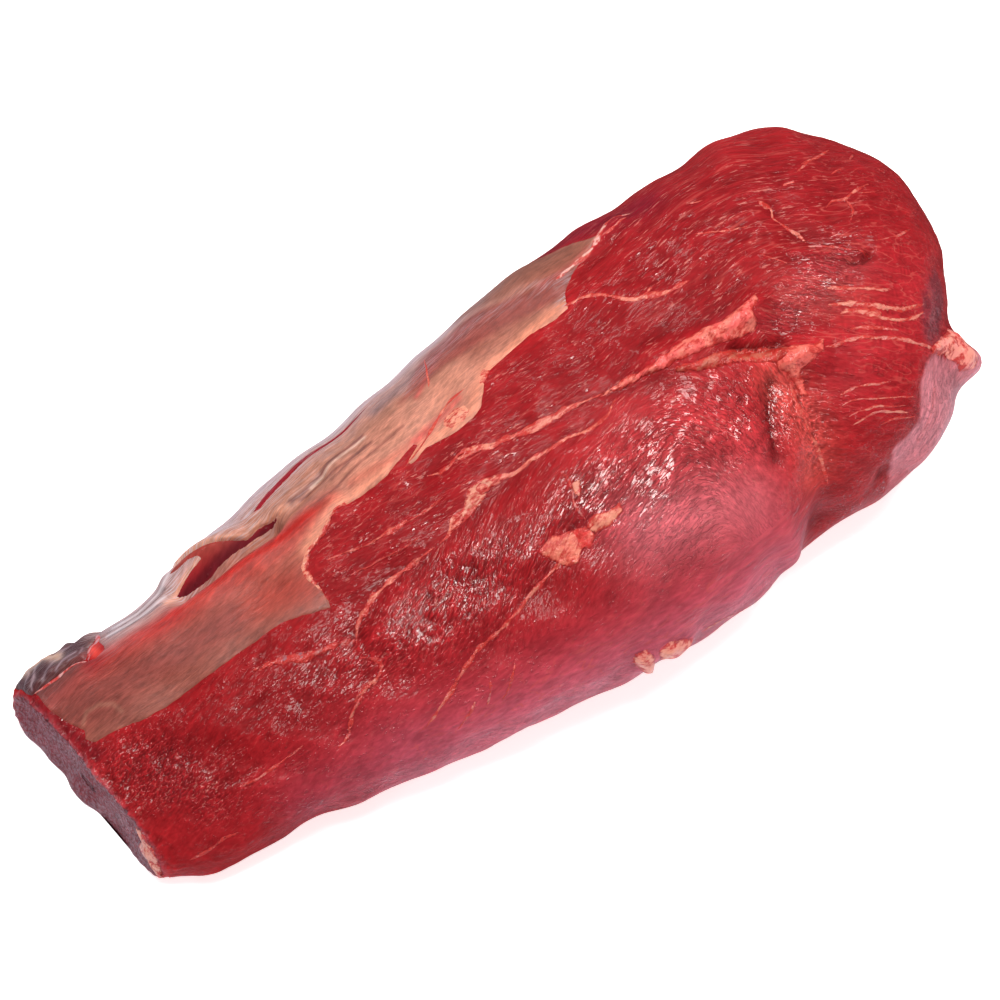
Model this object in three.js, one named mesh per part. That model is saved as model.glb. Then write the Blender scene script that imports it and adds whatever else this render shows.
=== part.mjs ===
// Raw beef chuck tender, one whole trimmed muscle lying on its flattest side.
// Lengths are millimetres. +X runs from the thin cut end to the thick rounded end,
// +Y is the side with the silverskin, +Z is up, and the part rests on z = 0.
import * as THREE from "three";

const totalLength = 286; // along the muscle, cut face to rounded end
const noseLength = 55; // stretch over which the thick end closes
const noseSkew = 8; // how much further out the thick end reaches at its silverskin side
const skewHalf = 50; // distance from the middle at which it reaches that much further
const skewReach = 96; // the skew grows over this last stretch
const faceLean = 2.2; // the foot of the cut face stands this much further out than its top
const faceHeight = 15; // height of the cut face at its middle
const rimRadius = 2.2; // soft edge round the cut face
const tailReach = 40; // the lean of the cut face dies out over this length
const underFlat = 3; // the section is cut off this far above its own lowest point

// Half-sections along the muscle: from the crest to the silverskin side (far) and to the
// other side (near), height of the crest, height of the widest line, sideways place of the crest
const sections = [
  { along: 0, far: 34.5, near: 35, top: 16, waist: 8.5, crest: 11 },
  { along: 12, far: 37.5, near: 41.5, top: 22, waist: 11, crest: 9 },
  { along: 28, far: 36.5, near: 42, top: 29, waist: 14, crest: 6 },
  { along: 45, far: 38, near: 43, top: 35, waist: 17, crest: 4 },
  { along: 84, far: 46, near: 51, top: 46, waist: 22, crest: 1 },
  { along: 124, far: 48, near: 58.5, top: 55, waist: 26, crest: 0 },
  { along: 164, far: 53, near: 64, top: 61, waist: 28, crest: 0 },
  { along: 199, far: 53, near: 59.5, top: 65, waist: 30, crest: 0 },
  { along: 229, far: 51.5, near: 60, top: 65, waist: 31, crest: 0 },
  { along: 256, far: 51, near: 58, top: 62, waist: 31, crest: 0 },
  { along: totalLength, far: 40, near: 42, top: 57, waist: 29, crest: 0 },
];
// Exponents of the rounded-box outlines: section above and below its widest line,
// thick end in plan on each side, thick end in side view
const squareness = { above: 2.35, below: 2.8, farEnd: 2.7, nearEnd: 2.1, endHeight: 3.2 };

// Relief on the surface. Each runs along [distance from the cut face, turn in degrees], where
// turn 0 is the silverskin side, 90 the top and 180 the near side. Height is outward.
const relief = [
  // pocket under the loose flap on the silverskin side, and the slit it runs out in
  { height: -5.5, width: 3.4, path: [[47, 46], [59, 50], [76, 53]] },
  { height: -1.8, width: 2.4, path: [[76, 53], [84, 54], [96, 51]] },
  { height: 2, width: 3.5, path: [[49, 26], [58, 32], [68, 43]] },
  // long red ridge beside the membrane
  { height: 1.6, width: 4.5, path: [[14, 50], [37, 54], [64, 59], [92, 65]] },
  // hollow between the membrane and the flesh near the thick end
  { height: -1.4, width: 5, path: [[162, 57], [180, 56], [200, 52]] },
  { height: 1.2, width: 2.5, path: [[180, 53], [194, 50], [207, 44]] },
  // seams between the muscle bundles
  { height: -1.4, width: 4.5, path: [[74, 106], [85, 99], [105, 99], [134, 96], [155, 98], [170, 96]] },
  { height: -1, width: 4, path: [[115, 78], [130, 82], [154, 90], [174, 95]] },
  { height: -1.6, width: 5, path: [[71, 155], [88, 139], [104, 131], [124, 124], [136, 119]] },
  { height: -1.2, width: 4, path: [[56, 138], [66, 125], [74, 118], [72, 108]] },
  { height: -1, width: 4, path: [[240, 74], [240, 84], [244, 96], [257, 106]] },
  // seam filled with fat, and the crease under it where the next bundle starts
  { height: 2.6, width: 4.5, path: [[184, 96], [198, 100], [208, 101], [215, 100]] },
  { height: -5, width: 3.6, path: [[196, 104], [202, 107], [209, 111], [214, 112]] },
  { height: 3, width: 4.5, path: [[214, 116], [219, 119]] },
  // valley from the knot of fat down to the near side, and the shorter groove beside it
  { height: -4, width: 7, path: [[212, 126], [207, 142], [204, 157], [202, 172], [202, 186]] },
  { height: -3, width: 3.6, path: [[205, 119], [199, 126], [194, 137]] },
  { height: -2.5, width: 3, path: [[251, 104], [253, 106]] },
  { height: -1.5, width: 2.8, path: [[224, 174], [224, 178]] },
  // full bundle between the seams, and the lobes of the thick end
  { height: 2.5, width: 26, path: [[150, 118], [182, 124]] },
  { height: 1.5, width: 15, path: [[222, 72], [240, 60]] },
  { height: 1.6, width: 14, path: [[228, 138], [246, 130]] },
  { height: 2, width: 8, path: [[245, 41], [240, 52]] },
  { height: 1.3, width: 7, path: [[257, 32], [261, 38]] },
  // scrap of fat drawn out of the near corner of the thick end, and two at the near side
  { height: 6.8, width: 6, path: [[263, 166], [264, 173]] },
  { height: 3, width: 9, path: [[262, 172], [246, 178]] },
  { height: 2, width: 4, path: [[136, 184], [138, 178]] },
  { height: 2, width: 4, path: [[145, 186], [149, 184]] },
  { height: 1.8, width: 4.5, path: [[186, 160], [188, 186]] },
  // lumps along the foot of the cut face
  { height: 0.8, width: 4, path: [[0, 4], [0, -8]] },
  { height: 1.5, width: 4.5, path: [[0, -40], [0, -62]] },
  { height: 1.3, width: 3.5, path: [[0, -82], [0, -90]] },
];
const reliefFoot = 7; // relief fades out below this height where the surface faces down
// Slow swell of the whole surface: wavelengths along X, Y and Z, and height
const swell = { waves: [[47, 31, 39], [23, 29, 26]], height: 0.45 };

// Mesh: rings on the cut face, rings along the body and round the nose, columns above and below
const faceRings = [0.3, 0.6, 0.85];
const bodyRings = 38;
const noseRings = 16;
const upperColumns = 66;
const lowerColumns = 20;
const upperFrom = -32; // the upper columns span these turns, in degrees
const upperTo = 212;

// One measure of the section table at a distance along, on a smooth curve through the table
function sectionAt(along, key) {
  const last = sections.length - 2;
  let i = 0;
  while (i < last && along > sections[i + 1].along) i += 1;
  const slope = (k) => {
    const a = sections[Math.max(k - 1, 0)];
    const b = sections[Math.min(k + 1, sections.length - 1)];
    return (b[key] - a[key]) / (b.along - a.along);
  };
  const [a, b] = [sections[i], sections[i + 1]];
  const span = b.along - a.along;
  const t = (along - a.along) / span;
  const rise = t * t * (3 - 2 * t);
  const lean = t * (1 - t) * span;
  return a[key] + (b[key] - a[key]) * rise + lean * ((1 - t) * slope(i) - t * slope(i + 1));
}

// Point of the smooth muscle. Each half of a section is a rounded box, the thick end shrinks
// as a rounded box in plan and in side view, and ring scales a section down on the cut face.
function musclePoint(along, turnDegrees, ring = 1) {
  const turn = THREE.MathUtils.degToRad(turnDegrees);
  const [c, s] = [Math.cos(turn), Math.sin(turn)];
  const power = s >= 0 ? squareness.above : squareness.below;
  const reach = (Math.abs(c) ** power + Math.abs(s) ** power) ** (-1 / power);
  const tip = Math.min(Math.max((along - totalLength + noseLength) / noseLength, 0), 1);
  const planPower = squareness.nearEnd + ((squareness.farEnd - squareness.nearEnd) * (1 + c)) / 2;
  const plan = ring * (1 - tip ** planPower) ** (1 / planPower);
  const tall = ring * (1 - tip ** squareness.endHeight) ** (1 / squareness.endHeight);
  const waist = sectionAt(along, "waist");
  const half = sectionAt(along, c >= 0 ? "far" : "near");
  const rise = s >= 0 ? sectionAt(along, "top") - waist : waist + underFlat;
  const y = sectionAt(along, "crest") + half * c * reach * plan;
  const z = Math.max(waist + rise * s * reach * tall, 0);
  const tail = Math.max(1 - along / tailReach, 0) ** 2;
  const skew = THREE.MathUtils.clamp((along - totalLength) / skewReach + 1, 0, 1) ** 2;
  const x = along - tail * faceLean * (1 - z / faceHeight) + (noseSkew * skew * y) / skewHalf;
  return new THREE.Vector3(x, y, z);
}

// Turns of the columns, once round from the silverskin side, closer together above
function columnTurns() {
  const turns = [];
  for (let i = 0; i < upperColumns; i += 1)
    turns.push(upperFrom + ((upperTo - upperFrom) * i) / upperColumns);
  for (let i = 0; i < lowerColumns; i += 1)
    turns.push(upperTo + ((upperFrom + 360 - upperTo) * i) / lowerColumns);
  return turns;
}

// Rings from the cut face to just before the tip: distance along, and shrink on the face
function ringList() {
  const rings = faceRings.map((ring) => ({ along: 0, ring }));
  rings.push({ along: 0, ring: 0.95 }, { along: rimRadius * 0.3, ring: 0.985 });
  const noseStart = totalLength - noseLength;
  for (let i = 0; i < bodyRings; i += 1)
    rings.push({ along: rimRadius + ((noseStart - rimRadius) * i) / bodyRings, ring: 1 });
  for (let i = 0; i < noseRings; i += 1)
    rings.push({ along: noseStart + noseLength * Math.sin((Math.PI * i) / (2 * noseRings)), ring: 1 });
  return rings;
}

// Closed surface of rings and columns with one point at each end
function muscleGeometry() {
  const turns = columnTurns();
  const rings = ringList();
  const points = [musclePoint(0, 0, 0)];
  for (const { along, ring } of rings)
    for (const turn of turns) points.push(musclePoint(along, turn, ring));
  points.push(musclePoint(totalLength, 0));
  const n = turns.length;
  const tipIndex = points.length - 1;
  const faces = [];
  for (let j = 0; j < n; j += 1) {
    const k = (j + 1) % n;
    faces.push(0, 1 + k, 1 + j);
    for (let i = 0; i + 1 < rings.length; i += 1) {
      const [a, b] = [1 + i * n + j, 1 + i * n + k];
      faces.push(a, b, b + n, a, b + n, a + n);
    }
    faces.push(tipIndex - n + j, tipIndex - n + k, tipIndex);
  }
  const geometry = new THREE.BufferGeometry().setFromPoints(points);
  geometry.setIndex(faces);
  geometry.computeVertexNormals();
  return geometry;
}

// Distance from a point to a run of straight pieces
function distanceToPath(point, path) {
  const nearest = new THREE.Vector3();
  let best = Infinity;
  for (let i = 0; i + 1 < path.length; i += 1) {
    new THREE.Line3(path[i], path[i + 1]).closestPointToPoint(point, true, nearest);
    best = Math.min(best, nearest.distanceTo(point));
  }
  return best;
}

// Phase of a wave of the given length at a distance
const wave = (distance, length) => (2 * Math.PI * distance) / length;

// Moves each vertex along its normal by the relief there: each feature's height falls off as
// a bell over its width, on top of the slow swell, and all of it fades out on the underside
function carveRelief(geometry) {
  const features = relief.map(({ height, width, path }) => ({
    height,
    width,
    path: path.map(([along, turn]) => musclePoint(along, turn)),
  }));
  const positions = geometry.getAttribute("position");
  const normals = geometry.getAttribute("normal");
  const point = new THREE.Vector3();
  const normal = new THREE.Vector3();
  for (let i = 0; i < positions.count; i += 1) {
    point.fromBufferAttribute(positions, i);
    normal.fromBufferAttribute(normals, i);
    let height = 0;
    for (const f of features)
      height += f.height * Math.exp(-((distanceToPath(point, f.path) / f.width) ** 2));
    for (const [a, b, c] of swell.waves)
      height += swell.height * Math.sin(wave(point.x, a)) * Math.cos(wave(point.y, b) + wave(point.z, c));
    const { smoothstep } = THREE.MathUtils;
    height *= Math.max(smoothstep(point.z, 0, reliefFoot), smoothstep(normal.z, -0.9, -0.3));
    point.addScaledVector(normal, height);
    positions.setXYZ(i, point.x, point.y, Math.max(point.z, 0));
  }
}

// Puts the middle of the footprint over the origin and the lowest point on z = 0
function centreOverOrigin(geometry) {
  geometry.computeBoundingBox();
  const { min, max } = geometry.boundingBox;
  geometry.translate(-(min.x + max.x) / 2, -(min.y + max.y) / 2, -min.z);
}

const geometry = muscleGeometry();
carveRelief(geometry);
centreOverOrigin(geometry);
geometry.computeVertexNormals();

const muscle = new THREE.Mesh(
  geometry,
  new THREE.MeshStandardMaterial({ color: 0xa31822, roughness: 0.4 }),
);
muscle.name = "chuck_tender";

const group = new THREE.Group();
group.add(muscle);
export default group;
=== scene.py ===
# Raw beef chuck tender on a pale floor: the muscle, its silverskin, the fat and the marbling.
# Lengths in the dictionaries are millimetres. A place on the muscle is [along, turn]: the
# distance from the cut face, and the angle round the section (0 silverskin side, 90 top,
# 180 near side). Negative distances run from the rim of the cut face towards its middle.
from functools import partial

import bpy
import numpy as np
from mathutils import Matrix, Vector


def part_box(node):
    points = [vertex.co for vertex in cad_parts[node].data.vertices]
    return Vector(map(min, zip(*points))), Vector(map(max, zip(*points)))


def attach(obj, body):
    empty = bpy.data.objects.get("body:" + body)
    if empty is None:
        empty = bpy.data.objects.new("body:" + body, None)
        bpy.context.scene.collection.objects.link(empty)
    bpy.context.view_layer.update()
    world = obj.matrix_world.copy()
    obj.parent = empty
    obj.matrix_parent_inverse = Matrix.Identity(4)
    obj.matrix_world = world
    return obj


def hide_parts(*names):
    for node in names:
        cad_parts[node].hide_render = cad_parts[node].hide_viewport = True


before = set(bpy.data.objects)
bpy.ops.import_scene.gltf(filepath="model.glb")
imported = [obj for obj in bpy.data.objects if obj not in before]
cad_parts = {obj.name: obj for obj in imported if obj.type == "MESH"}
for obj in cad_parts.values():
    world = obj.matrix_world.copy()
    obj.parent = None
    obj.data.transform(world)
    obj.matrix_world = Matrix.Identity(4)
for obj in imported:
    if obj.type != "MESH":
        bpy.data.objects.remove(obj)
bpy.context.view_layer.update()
metre = 0.001
print("frame loaded")


# sRGB hex to the linear colour that Blender's sockets take
def linear(hexColour):
    part = np.array([int(hexColour[i:i + 2], 16) for i in (1, 3, 5)]) / 255
    return np.where(part <= 0.04045, part / 12.92, ((part + 0.055) / 1.055) ** 2.4)


def rgba(hexColour):
    return (*linear(hexColour), 1.0)


# 0 below low, 1 above high, smooth in between
def smoothStep(value, low, high):
    t = np.clip((value - low) / (high - low), 0, 1)
    return t * t * (3 - 2 * t)


# Vectors scaled to length 1
def unit(vectors):
    return vectors / np.maximum(np.linalg.norm(vectors, axis=-1, keepdims=True), 1e-9)


# Points turned about Z by an angle in degrees
def turned(points, degrees):
    c, s = np.cos(np.radians(degrees)), np.sin(np.radians(degrees))
    x, y, z = np.moveaxis(points, -1, 0)
    return np.stack([c * x + s * y, c * y - s * x, z], -1)


# Lattice noise, -1 to 1: random heights on a 32-cell lattice, blended with smooth steps
def noiseAt(points, size, seed):
    lattice = np.random.RandomState(seed).uniform(-1, 1, (32, 32, 32))
    p = points / np.asarray(size, float)
    base = np.floor(p).astype(int)
    t = smoothStep(p - base, 0, 1)
    total = 0
    for corner in range(8):
        step = np.array([corner & 1, corner >> 1 & 1, corner >> 2])
        cell = (base + step) % 32
        weight = np.prod(np.where(step, t, 1 - t), axis=-1)
        total = total + weight * lattice[cell[..., 0], cell[..., 1], cell[..., 2]]
    return total


# Smooth curve through the rows of a table: a cubic between two rows, with the given slopes
def cubicThrough(at, rows, slope, where):
    i = np.clip(np.searchsorted(at, where, side="right") - 1, 0, len(at) - 2)
    span = (at[i + 1] - at[i])[..., None]
    t = (where - at[i])[..., None] / span
    value = rows[i] + (rows[i + 1] - rows[i]) * t * t * (3 - 2 * t)
    return value + t * (1 - t) * span * ((1 - t) * slope[i] - t * slope[i + 1])


muscle = {
    "length": 286, "noseLength": 55, "noseSkew": 8, "skewHalf": 50, "skewReach": 96,
    "faceLean": 2.2, "faceHeight": 15, "rimRadius": 2.2, "rimShrink": 0.05, "tailReach": 40,
    "underFlat": 3, "above": 2.35, "below": 2.8, "farEnd": 2.7, "nearEnd": 2.1, "endHeight": 3.2,
    # distance along, half-width far and near, height of crest, of waist, place of the crest
    "sections": [
        (0, 34.5, 35, 16, 8.5, 11), (12, 37.5, 41.5, 22, 11, 9), (28, 36.5, 42, 29, 14, 6),
        (45, 38, 43, 35, 17, 4), (84, 46, 51, 46, 22, 1), (124, 48, 58.5, 55, 26, 0),
        (164, 53, 64, 61, 28, 0), (199, 53, 59.5, 65, 30, 0), (229, 51.5, 60, 65, 31, 0),
        (256, 51, 58, 62, 31, 0), (286, 40, 42, 57, 29, 0)],
    # height outward, width of the bell, and the path it follows
    "relief": [
        (-5.5, 3.4, [[47, 46], [59, 50], [76, 53]]), (-1.8, 2.4, [[76, 53], [84, 54], [96, 51]]),
        (2, 3.5, [[49, 26], [58, 32], [68, 43]]),
        (1.6, 4.5, [[14, 50], [37, 54], [64, 59], [92, 65]]),
        (-1.4, 5, [[162, 57], [180, 56], [200, 52]]), (1.2, 2.5, [[180, 53], [194, 50], [207, 44]]),
        (-1.4, 4.5, [[74, 106], [85, 99], [105, 99], [134, 96], [155, 98], [170, 96]]),
        (-1, 4, [[115, 78], [130, 82], [154, 90], [174, 95]]),
        (-1.6, 5, [[71, 155], [88, 139], [104, 131], [124, 124], [136, 119]]),
        (-1.2, 4, [[56, 138], [66, 125], [74, 118], [72, 108]]),
        (-1, 4, [[240, 74], [240, 84], [244, 96], [257, 106]]),
        (2.6, 4.5, [[184, 96], [198, 100], [208, 101], [215, 100]]),
        (-3.4, 2.2, [[203, 107.4], [209, 111], [214, 112]]),
        (3, 4.5, [[214, 116], [219, 119]]),
        (-4, 7, [[212, 126], [207, 142], [204, 157], [202, 172], [202, 186]]),
        (-3, 3.6, [[205, 119], [199, 126], [194, 137]]),
        (-2.6, 1.2, [[248.5, 103.6], [252, 105.4], [255.5, 105.8]]),
        (0.8, 1.4, [[236, 93], [242.4, 95.9], [248.1, 99.3], [252.7, 102]]),
        (-1.5, 2.8, [[224, 174], [224, 178]]), (2.5, 26, [[150, 118], [182, 124]]),
        (1.5, 15, [[222, 72], [240, 60]]), (1.6, 14, [[228, 138], [246, 130]]),
        (2, 8, [[245, 41], [240, 52]]), (1.3, 7, [[257, 32], [261, 38]]),
        (6.8, 6, [[263, 166], [264, 173]]), (1.6, 9, [[262, 172], [246, 178]]),
        (2, 4, [[136, 184], [138, 178]]), (2, 4, [[145, 186], [149, 184]]),
        (1.8, 4.5, [[186, 160], [188, 186]]), (0.8, 4, [[0, 4], [0, -8]]),
        (1.5, 4.5, [[0, -40], [0, -62]]), (1.3, 3.5, [[0, -82], [0, -90]])],
    "reliefFoot": 7, "underFade": (-0.9, -0.3),
    "swellWaves": [(47, 31, 39), (23, 29, 26)], "swellHeight": 0.45,
    # mesh: rings on the face, on its rim, along the body and round the nose; columns
    "faceRings": 12, "rimRings": 5, "bodyRings": 300, "noseRings": 84,
    "upperColumns": 200, "lowerColumns": 46, "upperFrom": -32, "upperTo": 212,
    "faceHalf": 36,  # the face's radius in the [along, turn] scale
    "meanRadius": 52.0,  # for the spacing of columns on sheets and lumps
}


# Measures of the section at a distance: far, near, top, waist and crest. The slope at each
# row of the table is that between its two neighbours.
def sectionAt(along):
    table = np.array(muscle["sections"], float)
    at, rows = table[:, 0], table[:, 1:]
    count = np.arange(len(at))
    before, after = np.maximum(count - 1, 0), np.minimum(count + 1, len(at) - 1)
    slope = (rows[after] - rows[before]) / (at[after] - at[before])[:, None]
    return np.moveaxis(cubicThrough(at, rows, slope, along), -1, 0)


# Point of the smooth muscle: each half of a section is a rounded box, the thick end shrinks
# as a rounded box in plan and in side view, and ring scales a section down on the cut face
def musclePoint(along, turn, ring=1.0):
    along, turn, ring = np.broadcast_arrays(np.asarray(along, float), np.asarray(turn, float), ring)
    c, s = np.cos(np.radians(turn)), np.sin(np.radians(turn))
    power = np.where(s >= 0, muscle["above"], muscle["below"])
    reach = (np.abs(c) ** power + np.abs(s) ** power) ** (-1 / power)
    tip = np.clip((along - muscle["length"]) / muscle["noseLength"] + 1, 0, 1)
    planPower = muscle["nearEnd"] + (muscle["farEnd"] - muscle["nearEnd"]) * (1 + c) / 2
    plan = ring * (1 - tip ** planPower) ** (1 / planPower)
    tall = ring * (1 - tip ** muscle["endHeight"]) ** (1 / muscle["endHeight"])
    far, near, top, waist, crest = sectionAt(along)
    y = crest + np.where(c >= 0, far, near) * c * reach * plan
    rise = np.where(s >= 0, top - waist, waist + muscle["underFlat"])
    z = np.maximum(waist + rise * s * reach * tall, 0)
    tail = np.maximum(1 - along / muscle["tailReach"], 0) ** 2
    skew = np.clip((along - muscle["length"]) / muscle["skewReach"] + 1, 0, 1) ** 2
    x = along - tail * muscle["faceLean"] * (1 - z / muscle["faceHeight"])
    x = x + muscle["noseSkew"] * skew * y / muscle["skewHalf"]
    return np.stack([x, y, z], -1)


# Distance in mm from points to a run of straight pieces
def pathDistance(points, path):
    best = np.full(points.shape[:-1], np.inf)
    for a, b in zip(path[:-1], path[1:]):
        step = b - a
        t = np.clip((points - a) @ step / max(step @ step, 1e-9), 0, 1)
        best = np.minimum(best, np.linalg.norm(points - a - t[..., None] * step, axis=-1))
    return best


# Points of the smooth muscle at places, which lie on the cut face where along is negative
def smoothPoint(along, turn):
    return musclePoint(np.maximum(along, 0), turn, 1 + np.minimum(along, 0) / muscle["faceHalf"])


# Path of [along, turn] places as points on the smooth muscle
def onMuscle(path):
    return smoothPoint(*np.array(path, float).T)


# Normals of a grid of points, from the cross product of its two directions
def gridNormals(points):
    across = np.roll(points, -1, 1) - np.roll(points, 1, 1)
    return unit(np.cross(across, np.gradient(points, axis=0)))


# The muscle's grid: rows as (along, ring) and columns as turns
quarter = np.radians(np.linspace(0, 90, muscle["rimRings"], endpoint=False))
noseArc = np.radians(np.linspace(0, 90, muscle["noseRings"], endpoint=False))
noseStart = muscle["length"] - muscle["noseLength"]
faceRings, rimRings = muscle["faceRings"], muscle["rimRings"]
rowAlong = np.concatenate([
    np.zeros(faceRings), muscle["rimRadius"] * (1 - np.cos(quarter)),
    np.linspace(muscle["rimRadius"], noseStart, muscle["bodyRings"], endpoint=False),
    noseStart + muscle["noseLength"] * np.sin(noseArc)])
rowRing = np.ones(len(rowAlong))
rowRing[:faceRings] = np.linspace(1 / faceRings, 1 - muscle["rimShrink"], faceRings, endpoint=False)
rowRing[faceRings:faceRings + rimRings] = 1 - muscle["rimShrink"] * (1 - np.sin(quarter))
rowPlace = np.where(rowAlong > 0, rowAlong, -muscle["faceHalf"] * (1 - rowRing))
columnTurn = np.concatenate([
    np.linspace(muscle["upperFrom"], muscle["upperTo"], muscle["upperColumns"], endpoint=False),
    np.linspace(muscle["upperTo"], muscle["upperFrom"] + 360, muscle["lowerColumns"], endpoint=False)])
rows, columns = len(rowPlace), len(columnTurn)
alongGrid, turnGrid = np.meshgrid(rowPlace, columnTurn, indexing="ij")
smoothGrid = musclePoint(rowAlong[:, None], columnTurn[None, :], rowRing[:, None])
smoothNormal = gridNormals(smoothGrid)
wholeGrid = alongGrid, turnGrid, smoothGrid


# Bell over a path: 1 on it, falling off over the width
def bellOver(path, width, points=smoothGrid):
    return np.exp(-(pathDistance(points, onMuscle(path)) / width) ** 2)


# Soft oval on the [along, turn] plane: 1 in its middle
def ovalAt(middle, half):
    return np.exp(-((alongGrid - middle[0]) / half[0]) ** 2 - ((turnGrid - middle[1]) / half[1]) ** 2)


relief = sum(height * bellOver(path, width) for height, width, path in muscle["relief"])
for a, b, c in muscle["swellWaves"]:
    x, y, z = np.moveaxis(smoothGrid, -1, 0) * 2 * np.pi
    relief = relief + muscle["swellHeight"] * np.sin(x / a) * np.cos(y / b + z / c)
# The relief fades out on the underside and at the foot of the sides
footFade = np.maximum(smoothStep(smoothGrid[..., 2], 0, muscle["reliefFoot"]),
                      smoothStep(smoothNormal[..., 2], *muscle["underFade"]))

# Outline of the silverskin, once round: near edge from the cut end to the thick end, the
# notch and the tongue beside it, then back along the far side
silverskin = {
    "outline": [
        [2.4, 42.7], [1.8, 55.2], [2.6, 63.7], [4.5, 74.1], [3.6, 78.1], [4.6, 82], [10.4, 84.1],
        [16.5, 87], [21.9, 88], [30, 87.5], [40, 88], [47, 88], [61, 89], [73.4, 95], [74.8, 88],
        [74.8, 83], [75.4, 78], [78.7, 74], [84.2, 72], [89.1, 69.5], [92, 68], [97, 69], [102, 69.5],
        [105, 70], [108, 70], [112, 68.4], [116, 67.2], [119.5, 66.4], [120, 67.8], [117, 69.2], [114, 71],
        [115, 72], [118, 71.4], [121, 70.4], [124, 71.6], [130, 73.4], [136, 73.4], [140, 72], [143, 69],
        [147, 64.6], [150, 64], [156, 63.4], [164, 63.4], [169, 65], [173, 65], [177, 64.5], [180, 58],
        [187, 53], [195, 49.5], [200, 46.6], [197, 43], [191.3, 34.6], [185.4, 28], [179.3, 21], [172, 10],
        [162, -3], [150, -9], [120, -12], [70, -10], [40, -6], [28, 0], [24, 20], [23.4, 33], [22.8, 46.8],
        [19.3, 48.6], [17.3, 47], [14.7, 44.1], [12.1, 43.2], [7.7, 42.1], [3.7, 39.4], [2, 38]],
    "bare": [  # the pocket between the two layers, and the hollow near the thick end
        [[80.9, 50.7], [76.5, 47.9], [73.9, 47.3], [69.9, 47.8], [67.8, 46.4], [64.3, 42.1], [61.9, 38.7],
         [59, 34.6], [55.3, 29.3], [52.5, 27], [50, 29.6], [52, 31.4], [55.8, 33.6], [58, 37], [58.6, 40],
         [56.4, 39.2], [53.6, 38.6], [50.7, 39], [48.3, 39.6], [46.3, 40.4], [48.8, 42.6], [52.4, 44.1],
         [56.3, 45.8], [59.5, 46.3], [63.9, 47.3], [68.5, 48.6], [71.8, 48.6], [76.2, 49.2]],
        [[74, 43], [84, 39.4], [97, 36.6], [112, 35.6], [122, 34], [112, 33.6], [97, 33.4], [84, 35.6],
         [77, 39.6]]],
    "thickness": 0.35, "edge": 0.45, "tuck": 0.6, "spacing": 0.55,
}


# Inside test on the [along, turn] plane: a place is inside where an odd number of the
# outline's edges lie on one side of it
def insideOutline(outline, along, turn):
    inside = np.zeros(along.shape, bool)
    for (a0, t0), (a1, t1) in zip(outline, outline[1:] + outline[:1]):
        if t0 == t1:
            continue
        crosses = (t0 > turn) != (t1 > turn)
        inside ^= crosses & (along < a0 + (a1 - a0) * (turn - t0) / (t1 - t0))
    return inside


# Signed distance in mm to an outline drawn on the muscle, positive inside it. The grid is
# along, turn and the points of the smooth muscle there.
def outlineDepth(outline, grid=wholeGrid):
    along, turn, points = grid
    distance = pathDistance(points, onMuscle(outline + outline[:1]))
    return np.where(insideOutline(outline, along, turn), distance, -distance)


skinDepth = outlineDepth(silverskin["outline"])
for hole in silverskin["bare"]:
    skinDepth = np.minimum(skinDepth, -outlineDepth(hole))
underSkin = smoothStep(skinDepth, -0.5, 1.0)

# Wrinkles and fibre ridges too fine for the CAD solid. Each row: height, noise size in mm
# along X, Y and Z, turn of the pattern about Z in degrees, and the soft oval it fills. Under
# the silverskin they are smoothed, and it lies a little lower.
fineRelief = {
    "everywhere": [(0.3, (10, 6, 6)), (0.12, (5, 2.6, 2.6)), (0.06, (3.5, 1.7, 1.7))],
    "smoothed": 0.9, "lower": 0.25,
    "patches": [
        (0.30, (6, 1.9, 1.9), -16, (222, 70), (40, 22)),    # upper lobe of the thick end
        (0.34, (7, 1.8, 1.8), -38, (246, 128), (28, 30)),   # near lobe of the thick end
        (0.42, (7, 2.0, 2.0), 18, (186, 122), (24, 20)),    # full bundle between the seams
        (0.40, (3.2, 1.7, 1.7), 40, (100, 114), (22, 14)),  # wet patch before the bundle
        (0.36, (13, 2.8, 2.8), 6, (40, 118), (34, 40)),     # tail
        (0.2, (3.0, 1.8, 1.8), 30, (12, 120), (12, 34)),
        (0.22, (5, 2.0, 2.2), -8, (130, 166), (70, 16)),    # near side
        (0.80, (2.6, 1.8, 1.8), 0, (0, 90), (3, 200)),      # rim of the cut face
        (0.60, (2.4, 1.6, 1.6), 60, (207, 136), (8, 18))],  # valley of the thick end
}
fine = 0
for k, (height, size) in enumerate(fineRelief["everywhere"]):
    fine = fine + height * noiseAt(smoothGrid, size, 11 + k)
for k, (height, size, spin, middle, half) in enumerate(fineRelief["patches"]):
    ridges = 1 - 2 * np.abs(noiseAt(turned(smoothGrid, spin), size, 31 + k))
    fine = fine + height * ridges * ovalAt(middle, half)
fine = fine * (1 - fineRelief["smoothed"] * underSkin) - fineRelief["lower"] * underSkin


# The smooth muscle with a height added along its normals
def raised(height):
    return smoothGrid + smoothNormal * (height * footFade)[..., None]


bodyGrid = raised(relief + fine)
bodyGrid[..., 2] = np.maximum(bodyGrid[..., 2], 0)
bodyNormal = gridNormals(bodyGrid)
bodyPoles = np.stack([bodyGrid[0].mean(0), bodyGrid[-1].mean(0)])

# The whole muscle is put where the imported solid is, which has the relief but not the fine part
ends = np.stack([musclePoint(0, 0, 0), musclePoint(muscle["length"], 0)])
coarse = np.concatenate([raised(relief).reshape(-1, 3), ends])
low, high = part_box("chuck_tender")
shift = (np.array(low) + np.array(high)) / 2 / metre - (coarse.min(0) + coarse.max(0)) / 2
shift[2] = 0
print("muscle grid", bodyGrid.shape, "shift", np.round(shift, 2))


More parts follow.
